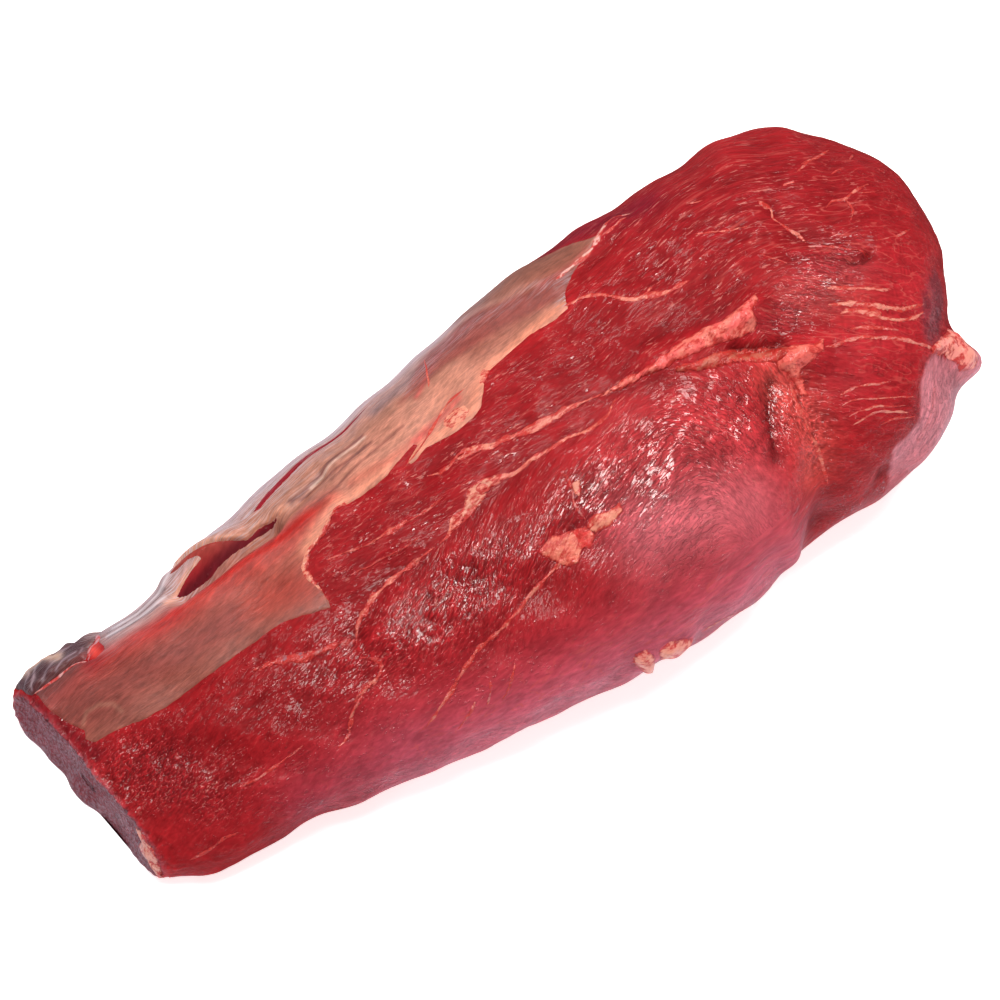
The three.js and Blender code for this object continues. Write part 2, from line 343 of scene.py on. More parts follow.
# Value of a grid on the muscle at [along, turn] places, blended between its four corners
def gridAt(grid, along, turn):
    row = np.interp(along, rowPlace, np.arange(rows))
    wrapped = (turn - columnTurn[0]) % 360 + columnTurn[0]
    column = np.interp(wrapped, np.append(columnTurn, columnTurn[0] + 360), np.arange(columns + 1))
    i = np.clip(np.floor(row).astype(int), 0, rows - 2)
    j = np.floor(column).astype(int) % columns
    k = (j + 1) % columns
    extra = (1,) * (grid.ndim - 2)
    u = (row - i).reshape(row.shape + extra)
    v = (column - np.floor(column)).reshape(row.shape + extra)
    return ((grid[i, j] * (1 - u) + grid[i + 1, j] * u) * (1 - v)
            + (grid[i, k] * (1 - u) + grid[i + 1, k] * u) * v)


# Point on the finished muscle, lifted outward by a height in mm
def onBody(along, turn, lift=0.0):
    normal = unit(gridAt(bodyNormal, along, turn))
    return gridAt(bodyGrid, along, turn) + normal * np.asarray(lift)[..., None]


def addObject(name, data):
    thing = bpy.data.objects.new(name, data)
    bpy.context.scene.collection.objects.link(thing)
    return thing


# Smooth shaded object from points in mm, faces, values at its points, and its material
def addPiece(name, points, faces, values, material, flat=None):
    mesh = bpy.data.meshes.new(name)
    mesh.from_pydata(((points + shift) * metre).tolist(), [], faces)
    mesh.polygons.foreach_set("use_smooth", [True] * len(mesh.polygons))
    mesh.materials.append(material)
    for key, value in values.items():
        if value.ndim == 1:
            kind, field = "FLOAT", "value"
        elif key.lower().endswith("grain"):
            kind, field = "FLOAT_VECTOR", "vector"
        else:
            kind, field = "FLOAT_COLOR", "color"
            value = np.concatenate([value, np.ones((len(value), 1))], 1)
        mesh.attributes.new(key, kind, "POINT").data.foreach_set(field, value.ravel())
    if flat is not None:  # a UV map in units of 10 mm
        loops = np.zeros(len(mesh.loops), int)
        mesh.loops.foreach_get("vertex_index", loops)
        mesh.uv_layers.new(name="flat").data.foreach_set("uv", (flat[loops] / 10).ravel())
    mesh.update()
    return addObject(name, mesh)


# Faces of a grid of rows and columns, closed round the columns or open
def gridFaces(rows, columns, closed=False):
    i, j = np.meshgrid(np.arange(rows - 1), np.arange(columns if closed else columns - 1), indexing="ij")
    k = (j + 1) % columns
    corners = [i * columns + j, (i + 1) * columns + j, (i + 1) * columns + k, i * columns + k]
    return np.stack(corners, -1).reshape(-1, 4)


# Lays a tone over colours, as opaque as the amount says
def layOver(colour, tone, amount):
    colour += (linear(tone) - colour) * amount[..., None]


# Colours over a grid of places: a base tone, soft strokes as tone, strength, width and paths,
# then areas as tone, strength, softness of the edge in mm, and outline. Waver is added to the
# distance from an area's edge, and fade weakens the areas.
def paint(tints, grid, waver=0.0, fade=1.0):
    colour = np.broadcast_to(linear(tints["base"]), grid[2].shape).copy()
    for tone, strength, width, *paths in tints["strokes"]:
        for path in paths:
            layOver(colour, tone, strength * bellOver(path, width, grid[2]))
    for tone, strength, softness, outline in tints["areas"]:
        inside = smoothStep(outlineDepth(outline, grid) + waver, -softness, softness)
        layOver(colour, tone, strength * inside * fade)
    return colour


# Colours of the lean meat, and of the cut face with a painted highlight along its rim and the lump on the rim
leanTints = {
    "base": "#9c1c21", "face": "#7c1c28", "rim": "#b84850", "rimLump": "#c43a3c",
    "strokes": [
        ("#8a1a20", 0.7, 26, [[225, 60], [262, 70]]),             # top of the thick end
        # clean bundle beside the membrane
        ("#8a151b", 0.7, 14, [[80, 92], [120, 84], [165, 84], [200, 86]]),
        ("#84151a", 0.7, 14, [[20, 110], [50, 112]]),             # tail
        ("#981e24", 0.7, 12, [[14, 150], [60, 150]]),
        ("#ae2a32", 0.6, 16, [[226, 130], [262, 125]]),           # near lobe of the thick end
        ("#c43a40", 0.7, 15, [[166, 110], [184, 116], [188, 128]]),   # full bundle
        # painted sheen: pale pink over the lower part of the full bundle
        ("#dc6e78", 0.8, 11, [[152, 130], [168, 135], [178, 142]]),
        ("#c43a38", 0.6, 6, [[228, 104], [240, 112]]),
        ("#8c3438", 0.5, 6, [[234, 108], [250, 106]]),            # brownish wet skin
        ("#8c2a30", 0.5, 4, [[206, 98], [214, 105], [222, 108]]),  # skin beside the knot
        # painted sheen on the near side: paler and pinker down towards the floor
        ("#b8424e", 0.6, 16, [[60, 172], [120, 172], [180, 168]]),
        ("#c05a6e", 0.85, 13, [[70, 181], [120, 181], [180, 178]]),
        ("#a04050", 0.6, 10, [[40, 168], [70, 176]]),
        ("#7c1c2c", 0.7, 5, [[46, 22], [78, 36], [97, 31], [120, 36]]),  # bare flesh at the far side
        ("#8e3a34", 0.9, 3.4, [[51, 29], [56, 32], [61, 39], [66, 45]]),   # inside the pocket
        # painted shade: a dark line deep in the pocket
        ("#5c1c26", 0.9, 1.5, [[47, 41.4], [54, 43.6], [60, 45.6], [67, 47.6], [80, 49.8]]),
        ("#dc4a42", 0.9, 1.6, [[20.6, 39], [20.4, 46]]),
        ("#741628", 0.75, 7, [[186, 20], [199, 35], [216, 44]]),
        ("#74161e", 0.85, 2.2, [[0.6, 42], [1.2, 60], [2.6, 80], [3, 88]]),       # above the cut face
        # painted shade: a dark line down the crease
        ("#5a060a", 0.9, 0.9, [[202, 106.2], [206.2, 108.6], [210.5, 111.4], [214.8, 114]]),  # crease
        # painted shade in the groove of the valley
        ("#6a0a10", 0.6, 0.8, [[205, 118], [202, 122], [199, 126], [196, 132], [194, 136]]),
        # painted sheen: brighter red down the valley's wet fibres
        ("#e25650", 0.75, 6, [[207, 119], [208, 130], [206, 142], [203, 152]]),
        ("#bc4046", 0.4, 5, [[224, 104], [236, 100], [246, 102]]),
    ],
    "areas": [
        # painted sheen: pale pink over the facet at the near side of the thick end
        ("#dc8894", 0.75, 0.9, [  # facet at the near side of the thick end
            [254, 142.5], [248.2, 142.5], [244.5, 144.6], [241.9, 150.9], [239.2, 158.3], [232.7, 160.9],
            [227.3, 162.5], [227.1, 180], [224.3, 202.6], [240, 214], [262, 205], [270, 180], [268, 163],
            [260, 157]]),
        ("#6a3440", 0.5, 1.2, [  # dark film above the scrap at the thick end
            [252, 134], [257, 129], [266, 128], [273, 133], [273, 144], [266, 146], [259, 143],
            [254, 139.5]]),
    ],
}
# the areas have a ragged edge and fade out towards the underside
leanTint = paint(leanTints, wholeGrid, 0.8 * noiseAt(smoothGrid, 3, 83),
                 1 - 0.75 * smoothStep(turnGrid, 168, 204))
cutFace = smoothStep(-alongGrid, -0.9, 0.7)
layOver(leanTint, leanTints["face"], cutFace)
# painted highlight: the rim of the cut face is painted brighter
layOver(leanTint, leanTints["rim"], 0.6 * ovalAt((-0.3, 90), (0.9, 150)))
layOver(leanTint, leanTints["rimLump"], ovalAt((-3, 94), (3.4, 6)))


# How far each point lies under the mean of its neighbours a few cells away, in mm
def hollowOf(reach):
    count = np.arange(rows)
    before, after = np.maximum(count - reach, 0), np.minimum(count + reach, rows - 1)
    around = bodyGrid[before] + bodyGrid[after] + np.roll(bodyGrid, reach, 1) + np.roll(bodyGrid, -reach, 1)
    return ((around / 4 - bodyGrid) * bodyNormal).sum(-1)


# Painted shade and highlight: hollows are painted darker and crests paler, but not on the crowded rings at
# the two ends
paintedCavityShade = 1.6 * hollowOf(1) + 0.35 * hollowOf(4)
paintedCavityShade[:faceRings] = paintedCavityShade[-5:] = 0
leanTint *= np.clip(1 - 0.7 * paintedCavityShade, 0.5, 1.2)[..., None]

# Fibre directions. Each bundle has its outline and the angle of its fibres about Z in degrees,
# which may change between two distances along the muscle, about a middle in the row frame.
# Its field holds places in mm with the first axis along the fibres, and its share is over a
# half inside the outline. Outside every bundle the fibres lie at the common angle.
commonAngle = 8
bundles = {
    "strip": {"outline": [
        [74, 86], [74, 103], [88, 100], [105, 99.5], [134, 96.5], [160, 97.5], [172, 94], [176, 62],
        [150, 50], [90, 60]],
        "angles": (-7, -7), "between": (0, 1), "middle": (0, 0)},
    "bulge": {"outline": [
        [80, 103], [105, 100], [134, 97], [170, 96], [190, 102], [203, 106], [213, 118], [208, 142],
        [205, 157], [160, 150], [120, 142], [100, 140], [84, 128]],
        "angles": (20, 9), "between": (96, 150), "middle": (-17, -20), "corner": (36, -20), "round": 7},
    "upperLobe": {"outline": [
        [168, 50], [172, 94], [190, 98], [212, 102], [232, 97], [252, 99], [300, 108], [300, -40],
        [205, -40]],
        "angles": (4, -20), "between": (205, 252), "middle": (86, 10)},
    "nearLobe": {"outline": [
        [212, 102], [232, 97], [252, 99], [300, 108], [300, 200], [203, 200], [202, 172], [207, 142],
        [213, 118]],
        "angles": (-42, -34), "between": (235, 262), "middle": (105, -30)},
    "facet": {"outline": [
        [254, 142.5], [244.5, 144.6], [239.2, 158.3], [227.3, 162.5], [224.3, 202.6], [240, 214],
        [270, 190], [268, 150]],
        "ends": [[245, 144], [228, 166]]},
}
grains = {"grain": turned(smoothGrid + shift, commonAngle)}
ragged = 1.5 * noiseAt(smoothGrid, 6, 81)
for name, bundle in bundles.items():
    grains[name] = np.clip(0.5 + (outlineDepth(bundle["outline"]) + ragged) / 12, 0, 1)
    if "ends" in bundle:
        # down a steep side: the first axis runs from the one place to the other
        a, b = onMuscle(bundle["ends"])
        axis = unit(b - a)
        across = unit(np.cross(axis, [0, 1, 0]))
        grains[name + "Grain"] = (smoothGrid - a) @ np.stack([axis, across, np.cross(axis, across)], 1)
        continue
    first, last = bundle["angles"]
    angle = first + (last - first) * smoothStep(alongGrid, *bundle["between"])
    field = turned(smoothGrid + shift - [*bundle["middle"], 0], angle)
    if "corner" in bundle:
        # past the corner the fibres turn down: level lines of a soft maximum of the two axes
        x, y, _ = np.moveaxis(turned(smoothGrid + shift - [*bundle["corner"], 0], angle), -1, 0)
        ahead, width = np.where(x > 0, x, 3 * x), bundle["round"]
        top = np.maximum(ahead, y)
        field[..., 1] = top + width * np.log(np.exp((ahead - top) / width) + np.exp((y - top) / width))
        field[..., 0] = 0.7 * (x - y)
    grains[name + "Grain"] = field

# Masks over the lean meat: what is there everywhere, the greatest value, and soft ovals that
# are added to it as strength, middle and half axes
leanMasks = {
    "wet": (0.12 + 0.5 * cutFace, 1.5, [
        (1.1, (98, 116), (30, 14)), (0.5, (140, 119), (22, 11)), (0.5, (168, 118), (20, 12)),
        (0.4, (62, 112), (22, 14)), (0.9, (243, 99), (12, 7)), (1.4, (12, 106), (9, 16)),
        (0.7, (21, 130), (8, 10)), (0.4, (4, 90), (4, 30)), (1.1, (206, 132), (7, 18)),
        (0.6, (236, 105), (12, 6)), (0.6, (222, 106), (10, 5)), (0.05, (130, 84), (50, 12)),
        (0.2, (210, 70), (40, 24)), (-0.2, (246, 132), (16, 16)), (-0.3, (120, 172), (90, 20))]),
    # pale lines of fascia
    "veined": (0, 1, [(1.3, (245, 95), (40, 60)), (0.7, (120, 80), (50, 16)), (0.9, (120, 165), (90, 18))]),
    # the drying film, which cracks along the fibres
    "filmed": (0, 1, [
        (1.2, (174, 118), (26, 14)), (0.9, (158, 136), (18, 14)), (0.9, (196, 126), (9, 12)),
        (0.7, (146, 113), (16, 8)), (0.6, (108, 112), (16, 10)), (1.2, (246, 165), (18, 18)),
        (0.8, (120, 184), (90, 14)), (1, (262, 137), (12, 9)), (0.7, (222, 107), (10, 6))]),
    # short pale flecks along the fibres, partly painted glints
    "flecked": (0.15, 1, [
        (0.8, (125, 80), (55, 22)), (0.9, (225, 70), (45, 34)), (0.5, (190, 115), (30, 20)),
        (0.8, (7, 114), (5, 8)), (0.8, (19, 126), (5, 9)), (0.5, (98, 116), (26, 13)),
        (-1, (62, 38), (20, 12))]),
}
leanValues = {"tint": leanTint, "cut": cutFace, **grains}
for name, (everywhere, most, ovals) in leanMasks.items():
    total = everywhere + sum(strength * ovalAt(middle, half) for strength, middle, half in ovals)
    leanValues[name] = np.clip(total, 0, most)
print("tints worked out")


# Adds a node. Inputs go by name, or by place among the sockets in use, and are constants,
# sockets or nodes, of which the first output is taken. Settings are the node's own properties.
def addNode(tree, kind, inputs, settings=None):
    node = tree.nodes.new("ShaderNode" + kind)
    for key, value in (settings or {}).items():
        setattr(node, key, value)
    used = [socket for socket in node.inputs if socket.enabled]
    for key, value in inputs.items() if isinstance(inputs, dict) else enumerate(inputs):
        socket = used[key] if isinstance(key, int) else node.inputs[key]
        if isinstance(value, bpy.types.Node):
            value = next(output for output in value.outputs if output.enabled)
        if isinstance(value, bpy.types.NodeSocket):
            tree.links.new(value, socket)
        else:
            socket.default_value = value
    return node


# Empty material, and addNode for its tree
def newMaterial(name):
    material = bpy.data.materials.new(name)
    material.use_nodes = True
    material.node_tree.nodes.clear()
    return material, partial(addNode, material.node_tree)


# Settings that nodes share
times, plus, minus, scale = [{"operation": name} for name in ("MULTIPLY", "ADD", "SUBTRACT", "SCALE")]
timesPlus = {"operation": "MULTIPLY_ADD"}
blend, blendColour, blendVector = [{"data_type": name} for name in ("FLOAT", "RGBA", "VECTOR")]
soft = {"interpolation_type": "SMOOTHSTEP"}


# Noises drawn out along the first axis of a place in mm, from a table of their sizes across
# and along in mm, detail and roughness
def drawnNoises(add, place, table):
    noises = {}
    for name, (across, along, detail, rough) in table.items():
        scaled = add("VectorMath", [place, (1 / along, 1 / across, 1 / across)], times)
        noise = add("TexNoise", {"Vector": scaled, "Scale": 1.0, "Detail": detail, "Roughness": rough})
        noises[name] = noise.outputs["Fac"]
    return noises


# Thin line where a noise crosses its middle value: 1 on the line, 0 past the half width
def lineOf(add, noise, halfWidth):
    away = add("Math", [add("Math", [noise, 0.5], minus)], {"operation": "ABSOLUTE"})
    return add("MapRange", [away, 0.0, halfWidth, 1.0, 0.0], soft)


# Place in mm that follows the fibres of the bundle it is in
def fibrePlace(add):
    place = add("Attribute", (), {"attribute_name": "grain"}).outputs["Vector"]
    for name in bundles:
        share = add("Attribute", (), {"attribute_name": name}).outputs["Fac"]
        inside = add("Math", [share, 0.5], {"operation": "GREATER_THAN"})
        other = add("Attribute", (), {"attribute_name": name + "Grain"}).outputs["Vector"]
        place = add("Mix", [inside, place, other], blendVector)
    return place


# Lean meat: raw striated muscle, wiped and kept wet. Bundles of fibre about 0.5 mm thick show
# as streaks. The film is smooth but for raised dashes and cracks along the fibres, and those
# break the light into short sharp glints.
leanFinish = {
    # across and along in mm, about the real bundles, detail and roughness
    "noises": {
        "fibre": (1.05, 4.5, 1.0, 0.5), "dash": (0.6, 1.9, 0.5, 0.5), "lump": (2.8, 8.0, 1.0, 0.5),
        "brush": (0.8, 5.0, 3.0, 0.6), "grain": (1.0, 1.0, 3.0, 0.65), "crack": (1.0, 2.6, 2.0, 0.5),
        "streak": (3.2, 34.0, 1.0, 0.5), "cloud": (4.0, 20.0, 3.0, 0.5), "clump": (5.0, 7.0, 2.0, 0.5),
        "fleck": (0.75, 3.4, 2.0, 0.6)},
    # noise, its low and high value, how much these darken or brighten, and where: the fibres'
    # streaks with painted shade in the grooves between them, patches, painted shade in the deep
    # gaps between the dashes with their tops painted paler, brush marks in the dry film
    "shades": [("fibre", (0.3, 0.7, 0.84, 1.14), None), ("cloud", (0.3, 0.7, 0.84, 1.14), None),
               ("dash", (0.36, 0.6, 0.62, 1.16), "wet"), ("brush", (0.36, 0.64, 0.84, 1.12), "filmed")],
    # pale marks: ends of the fibres on the cut face, lines of fascia, and flecks that are partly painted
    # glints
    "ends": (0.42, 0.64, 0.0, 0.62), "endTone": "#96707e",
    "streakWidth": 0.03, "streakComes": (0.4, 0.6, 0.1, 0.6), "streakTone": "#c8544e",
    "flecks": (0.58, 0.68, 0.0, 1.0), "fleckComes": (0.4, 0.6, 0.05, 0.6), "fleckTone": "#e2887e",
    "crackWidth": 0.05, "crackShade": 0.74,
    # heights in mm; dashes stand out above a level that falls where it is wetter and in clumps
    "fibreHeight": 0.34, "dashHeight": 0.15, "dashSlope": 0.16, "lumpHeight": 0.2, "crackHeight": 0.2,
    "endHeight": 0.7, "wetLevel": (0.0, 1.5, 0.62, 0.44), "clumpLevel": (0.35, 0.65, 0.08, -0.08),
    "wetHeight": (0.0, 1.5, 0.8, 1.3), "filmedHeight": (0.0, 1.0, 1.0, 0.35),
    # the wet film is thin on clean cut meat, full on the dashes, in wet patches and where it dries
    "glossLeast": -0.04, "glossWet": 0.75, "glossFilmed": 0.5, "glossDash": 0.9,
    "rough": 0.45, "specular": 0.08, "coatRough": 0.08, "coatIor": 1.45,
}


# Colour of the lean meat, height of its surface in mm, and how thick the wet film is
def leanLook(add):
    look = leanFinish
    noise = drawnNoises(add, fibrePlace(add), look["noises"])
    mask = {name: add("Attribute", (), {"attribute_name": name}).outputs["Fac"]
            for name in ("cut", *leanMasks)}
    colour = add("Attribute", (), {"attribute_name": "tint"}).outputs["Color"]
    # darken and brighten by the shades: painted shade in the grooves and gaps, dash tops painted paler
    for name, limits, where in look["shades"]:
        shade = add("MapRange", [noise[name], *limits])
        if where:
            shade = add("Mix", [mask[where], 1.0, shade], blend)
        colour = add("VectorMath", {"Vector": colour, "Scale": shade}, scale)
    ends = add("MapRange", [noise["grain"], *look["ends"]], soft)
    comes = add("MapRange", [noise["cloud"], *look["streakComes"]])
    streaks = add("Math", [lineOf(add, noise["streak"], look["streakWidth"]), comes], times)
    # pale flecks along the fibres, partly painted glints, where the clumps let them come
    comes = add("MapRange", [noise["clump"], *look["fleckComes"]], soft)
    flecks = add("Math", [add("MapRange", [noise["fleck"], *look["flecks"]], soft), comes], times)
    marked = [(ends, "cut", "endTone"), (streaks, "veined", "streakTone"), (flecks, "flecked", "fleckTone")]
    for marks, where, tone in marked:
        marks = add("Math", [marks, mask[where]], times)
        colour = add("Mix", [marks, colour, rgba(look[tone])], blendColour)
    # cracks in the drying film: painted shade darkens them, and they also sink into the bump
    cracks = add("Math", [lineOf(add, noise["crack"], look["crackWidth"]), mask["filmed"]], times)
    shade = add("MapRange", [cracks, 0.0, 1.0, 1.0, look["crackShade"]])
    colour = add("VectorMath", {"Vector": colour, "Scale": shade}, scale)
    # dashes on the fibres, which the drying film levels out
    level = add("Math", [add("MapRange", [mask["wet"], *look["wetLevel"]]),
                         add("MapRange", [noise["clump"], *look["clumpLevel"]])], plus)
    above = add("Math", [noise["dash"], level], minus)
    dashes = add("MapRange", [above, 0.0, look["dashSlope"], 0.0, look["dashHeight"]], soft)
    height = add("Math", [noise["fibre"], look["fibreHeight"], dashes], timesPlus)
    for where in ("wet", "filmed"):
        height = add("Math", [height, add("MapRange", [mask[where], *look[where + "Height"]])], times)
    grained = add("Math", [noise["grain"], mask["cut"]], times)
    bumps = [(noise["lump"], look["lumpHeight"]), (cracks, -look["crackHeight"]),
             (grained, look["endHeight"])]
    for bump, size in bumps:
        height = add("Math", [bump, size, height], timesPlus)
    film = add("Math", [mask["wet"], look["glossWet"], look["glossLeast"]], timesPlus)
    film = add("Math", [mask["filmed"], look["glossFilmed"], film], timesPlus)
    film = add("Math", [dashes, look["glossDash"] / look["dashHeight"], film],
               {**timesPlus, "use_clamp": True})
    return colour, height, film


# Shader with a wet film over it: surface gloss, then the film's
def wetShader(add, colour, height, film, finish):
    bump = add("Bump", {"Strength": 1.0, "Distance": metre, "Height": height})
    shader = add("BsdfPrincipled", {
        "Base Color": colour, "Roughness": finish["rough"], "IOR": 1.4, "Normal": bump,
        "Specular IOR Level": finish["specular"], "Coat Weight": film, "Coat Normal": bump,
        "Coat Roughness": finish["coatRough"], "Coat IOR": finish["coatIor"]})
    add("OutputMaterial", [shader])


leanMaterial, add = newMaterial("wet raw lean beef")
wetShader(add, *leanLook(add), leanFinish)


# Vertex values of the grid followed by those of the two poles
def withPoles(grid):
    value = grid.reshape(rows * columns, -1)
    return np.concatenate([value, value[:1], value[-1:]]).squeeze()


bodyPoints = np.concatenate([bodyGrid.reshape(-1, 3), bodyPoles])
bodyFaces = gridFaces(rows, columns, closed=True)[:, ::-1].tolist()
lastRow, pole = (rows - 1) * columns, rows * columns
bodyFaces += [[pole, j, (j + 1) % columns] for j in range(columns)]
bodyFaces += [[pole + 1, lastRow + (j + 1) % columns, lastRow + j] for j in range(columns)]
bodyValues = {key: withPoles(grid) for key, grid in leanValues.items()}
body = addPiece("lean_muscle", bodyPoints, bodyFaces, bodyValues, leanMaterial)
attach(body, "root")
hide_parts("chuck_tender")
print("muscle", len(body.data.polygons), "faces")


# The lean meat's own values at places, for pieces that fade into it
def valuesAt(along, turn, used=slice(None)):
    return {key: gridAt(grid, along, turn).reshape(along.size, -1)[used].squeeze()
            for key, grid in leanValues.items()}


# Sheet or lump laid on the muscle inside an outline: height rises from the tucked edge to
# the full thickness over the edge distance, as 1 - exp(-depth / edge), plus a dome
def patchOnBody(name, outline, spec, material, paints, holes=(), extra=None):
    margin, skirt = 2.0, 1.4  # how far the grid, and the faces that are kept, pass the outline
    lowest, highest = np.min(outline, 0) - margin, np.max(outline, 0) + margin
    rowCount = int((highest[0] - lowest[0]) / spec["spacing"]) + 2
    radius = muscle["meanRadius"]
    columnCount = int(np.radians(highest[1] - lowest[1]) * radius / spec["spacing"]) + 2
    along, turn = np.meshgrid(np.linspace(lowest[0], highest[0], rowCount),
                              np.linspace(lowest[1], highest[1], columnCount), indexing="ij")
    smooth = smoothPoint(along, turn)
    grid = along, turn, smooth
    depth = outlineDepth(outline, grid) + spec.get("ragged", 0.25) * noiseAt(smooth, 2.2, 71)
    for hole in holes:
        depth = np.minimum(depth, -outlineDepth(hole, grid))
    inside = np.maximum(depth, 0)
    lift = spec["thickness"] * (1 - np.exp(-inside / spec["edge"]))
    if "dome" in spec:
        lift = lift + spec["dome"] * (1 - np.exp(-(inside / spec["domeReach"]) ** 2))
    if "lumps" in spec:
        lift = lift + spec["lumps"] * noiseAt(smooth, spec["lumpSize"], 73) * smoothStep(inside, 0.2, 1.5)
    if extra:
        lift = lift + extra(smooth, inside)
    # outside the outline it slopes down under the surface
    lift = np.where(depth > 0, lift, np.maximum(depth * 1.2, -spec["tuck"]))
    points = onBody(along, turn, lift)
    faces = gridFaces(rowCount, columnCount)[:, ::-1]
    faces = faces[(depth.ravel()[faces] > -skirt).any(1)]
    used = np.unique(faces)
    renumber = np.zeros(depth.size, int)
    renumber[used] = np.arange(len(used))
    values = valuesAt(along, turn, used)
    for key, value in paints(grid, depth).items():
        values[key] = value.reshape(depth.size, -1)[used].squeeze()
    flat = np.stack([along, np.radians(turn) * radius], -1).reshape(-1, 2)[used]
    return addPiece(name, points.reshape(-1, 3)[used], renumber[faces].tolist(), values, material, flat)


# Colours of the silverskin by place: brown over the tail, a red ridge, tan and cream further on
skinTints = {
    "base": "#b07463",
    "strokes": [
        ("#98493b", 1.0, 16, [[0, 60], [30, 72], [50, 74], [66, 80]]),
        ("#8a4440", 0.7, 7, [[10, 62], [36, 70], [52, 74]]),
        ("#84413a", 0.8, 7, [[3, 60], [14, 76]]),
        ("#aa4035", 0.85, 8, [[62, 76], [72, 84]]),
        ("#8c5046", 0.6, 4, [[8, 82], [40, 86], [62, 89], [74, 95]]),
        ("#b8504a", 0.6, 3.4, [[4, 50], [18, 52]]),
        ("#b01a16", 1.0, 4.2, [[18, 49], [37, 55], [64, 60], [84, 64], [92, 66]]),
        ("#bc463c", 0.6, 2.2, [[46, 57], [64, 64], [84, 69]]),
        ("#b4827a", 0.8, 5, [[28, 40], [40, 40], [50, 34]]),
        # painted sheen: greyer and paler towards the far edge of the silverskin
        ("#a8888a", 0.8, 8, [[30, 20], [80, 26], [130, 26], [160, 26]]),
        ("#b49ca4", 0.8, 8, [[60, 5], [110, 12], [150, 14], [170, 12]]),
        ("#ae745f", 0.8, 6, [[72, 46], [100, 46], [140, 46]]),
        ("#cf8a74", 0.8, 5, [[104, 60], [130, 60], [144, 58]]),
        ("#9a5545", 0.8, 6, [[152, 52], [165, 52], [178, 50], [192, 46]]),
        ("#dc8c72", 0.95, 2.6, [[80, 72], [94, 67], [106, 68], [124, 70], [138, 71], [148, 63], [165, 62.5],
            [176, 63]]),
        ("#c8604e", 0.5, 1.6, [[100, 63], [112, 66], [124, 66]]),
        ("#7c6468", 0.7, 2.6, [[120, 42], [140, 40], [158, 40]]),
        ("#c84444", 0.6, 1.3, [[120, 66], [129, 65], [137, 64]]),
        ("#c84444", 0.6, 1.0, [[130, 51], [135, 48], [144, 41]]),
        ("#b85a52", 0.6, 1.0, [[177, 50], [182, 51], [190, 49], [195, 47]]),
        ("#6e3330", 0.9, 0.6, [[84, 50], [88.6, 50.4], [95.4, 49.4], [100, 48.8], [112, 48]]),   # slits
        ("#80453f", 0.9, 0.5, [[87.5, 52.1], [94.4, 53.2], [104.4, 54.5], [112, 54]]),
        ("#80453f", 0.8, 0.5, [[88, 61], [94, 61], [103, 59], [121, 58]]),
        ("#80504a", 0.8, 0.5, [[97, 56.4], [103.2, 55.5], [110, 53.5]]),
        ("#44202a", 1.0, 9, [[3, 24], [18, 28]]),   # dark membrane of the tail's far corner
        # painted highlights: pale lines on the crinkles of the dark membrane
        ("#9c828c", 0.75, 0.4, [[2.6, 35], [5, 31], [7, 25], [8, 20]],
            [[6, 38], [9, 34], [13, 31], [15, 26]], [[10, 40], [13, 36.6], [17, 34.6]],
            [[2, 28], [5, 24], [6, 17]]),
        ("#94747e", 0.75, 0.4, [[11, 30], [13, 25], [18, 21]], [[14, 40], [17, 38.6], [19, 34]]),
        # painted shade and highlight of the wrinkles beside the pocket: dark lines in the folds, pale lines
        # on the crests
        ("#54383f", 0.8, 0.6, [[26, 38], [32, 40], [38, 40.6], [43, 41.8]],
            [[27, 32], [33, 35], [40, 35.6], [46, 33]]),
        ("#54383f", 0.7, 0.5, [[30, 26], [38, 30], [46, 29]]),
        ("#d4c8ce", 0.8, 0.6, [[26, 36], [32, 38], [38, 38.6], [44, 38]],
            [[29, 29], [36, 32.6], [44, 31.6], [50, 28.6]]),
        ("#d8b4a4", 0.8, 0.5, [[92, 50.8], [100, 50.2], [112, 49.6]]),
        ("#c8a088", 0.9, 1.5, [[5.4, 15], [8.2, 14], [11.1, 18.7], [12.8, 28.4]]),
        ("#c08a74", 0.3, 0.7, [[5.3, 71.7], [7.9, 68], [11.4, 69.4], [14.4, 73.4], [14.9, 78.8]]),
        ("#dc9a80", 0.9, 0.9, [[60, 42], [58.9, 40.6], [56.4, 38.8], [53.6, 38.1], [50.7, 38.4], [48.3, 39],
            [46.3, 39.8], [43, 42.4]]),
        ("#dc9a80", 0.9, 0.8, [[84, 50.6], [80.9, 50], [76.5, 47.2], [73.9, 46.6], [69.9, 47], [67.8, 45.4],
            [64.3, 41.2], [61.9, 37.8], [59, 33.6], [55.3, 28.4], [52.5, 26]]),
    ],
    "areas": [
        ("#8c3e3a", 0.8, 2.0, [  # reddish film below the facet
            [125.3, 48.7], [144.1, 32.6], [161.6, 37.5], [173.9, 48.7], [191.8, 52.5], [197, 49.7],
            [206, 44], [209, 43], [200, 52], [185, 64.2], [177.5, 59.4], [161.2, 53], [143.8, 50]]),
        ("#8a5446", 0.8, 1.6, [  # brown facet near the thick end
            [198, 45.6], [192.2, 45.6], [181.5, 46.4], [174.4, 43], [168.6, 38.6], [163, 34.5], [150, 24],
            [140, 12], [150, 2], [164, 6], [174, 14], [180, 22], [185.4, 28], [191.3, 34.6]]),
    ],
    # white streaks of painted sheen: strength, width, path
    "streaked": [
        (0.8, 6, [[28, 30], [40, 33], [48, 36]]),
        (0.75, 9, [[30, 22], [74.7, 34], [95.3, 30], [120.5, 20], [145, 18], [170, 16]]),
        (0.6, 8, [[40, 4], [110, 2], [170, 4]]), (0.3, 3, [[130, 44], [150, 40], [170, 46], [184, 55]]),
        (1.0, 2.4, [[178, 62], [188, 57], [200, 50], [209, 43]]), (0.2, 6, [[3, 24], [18, 28]]),
        (0.5, 5, [[26, 30], [34, 34]])],
}


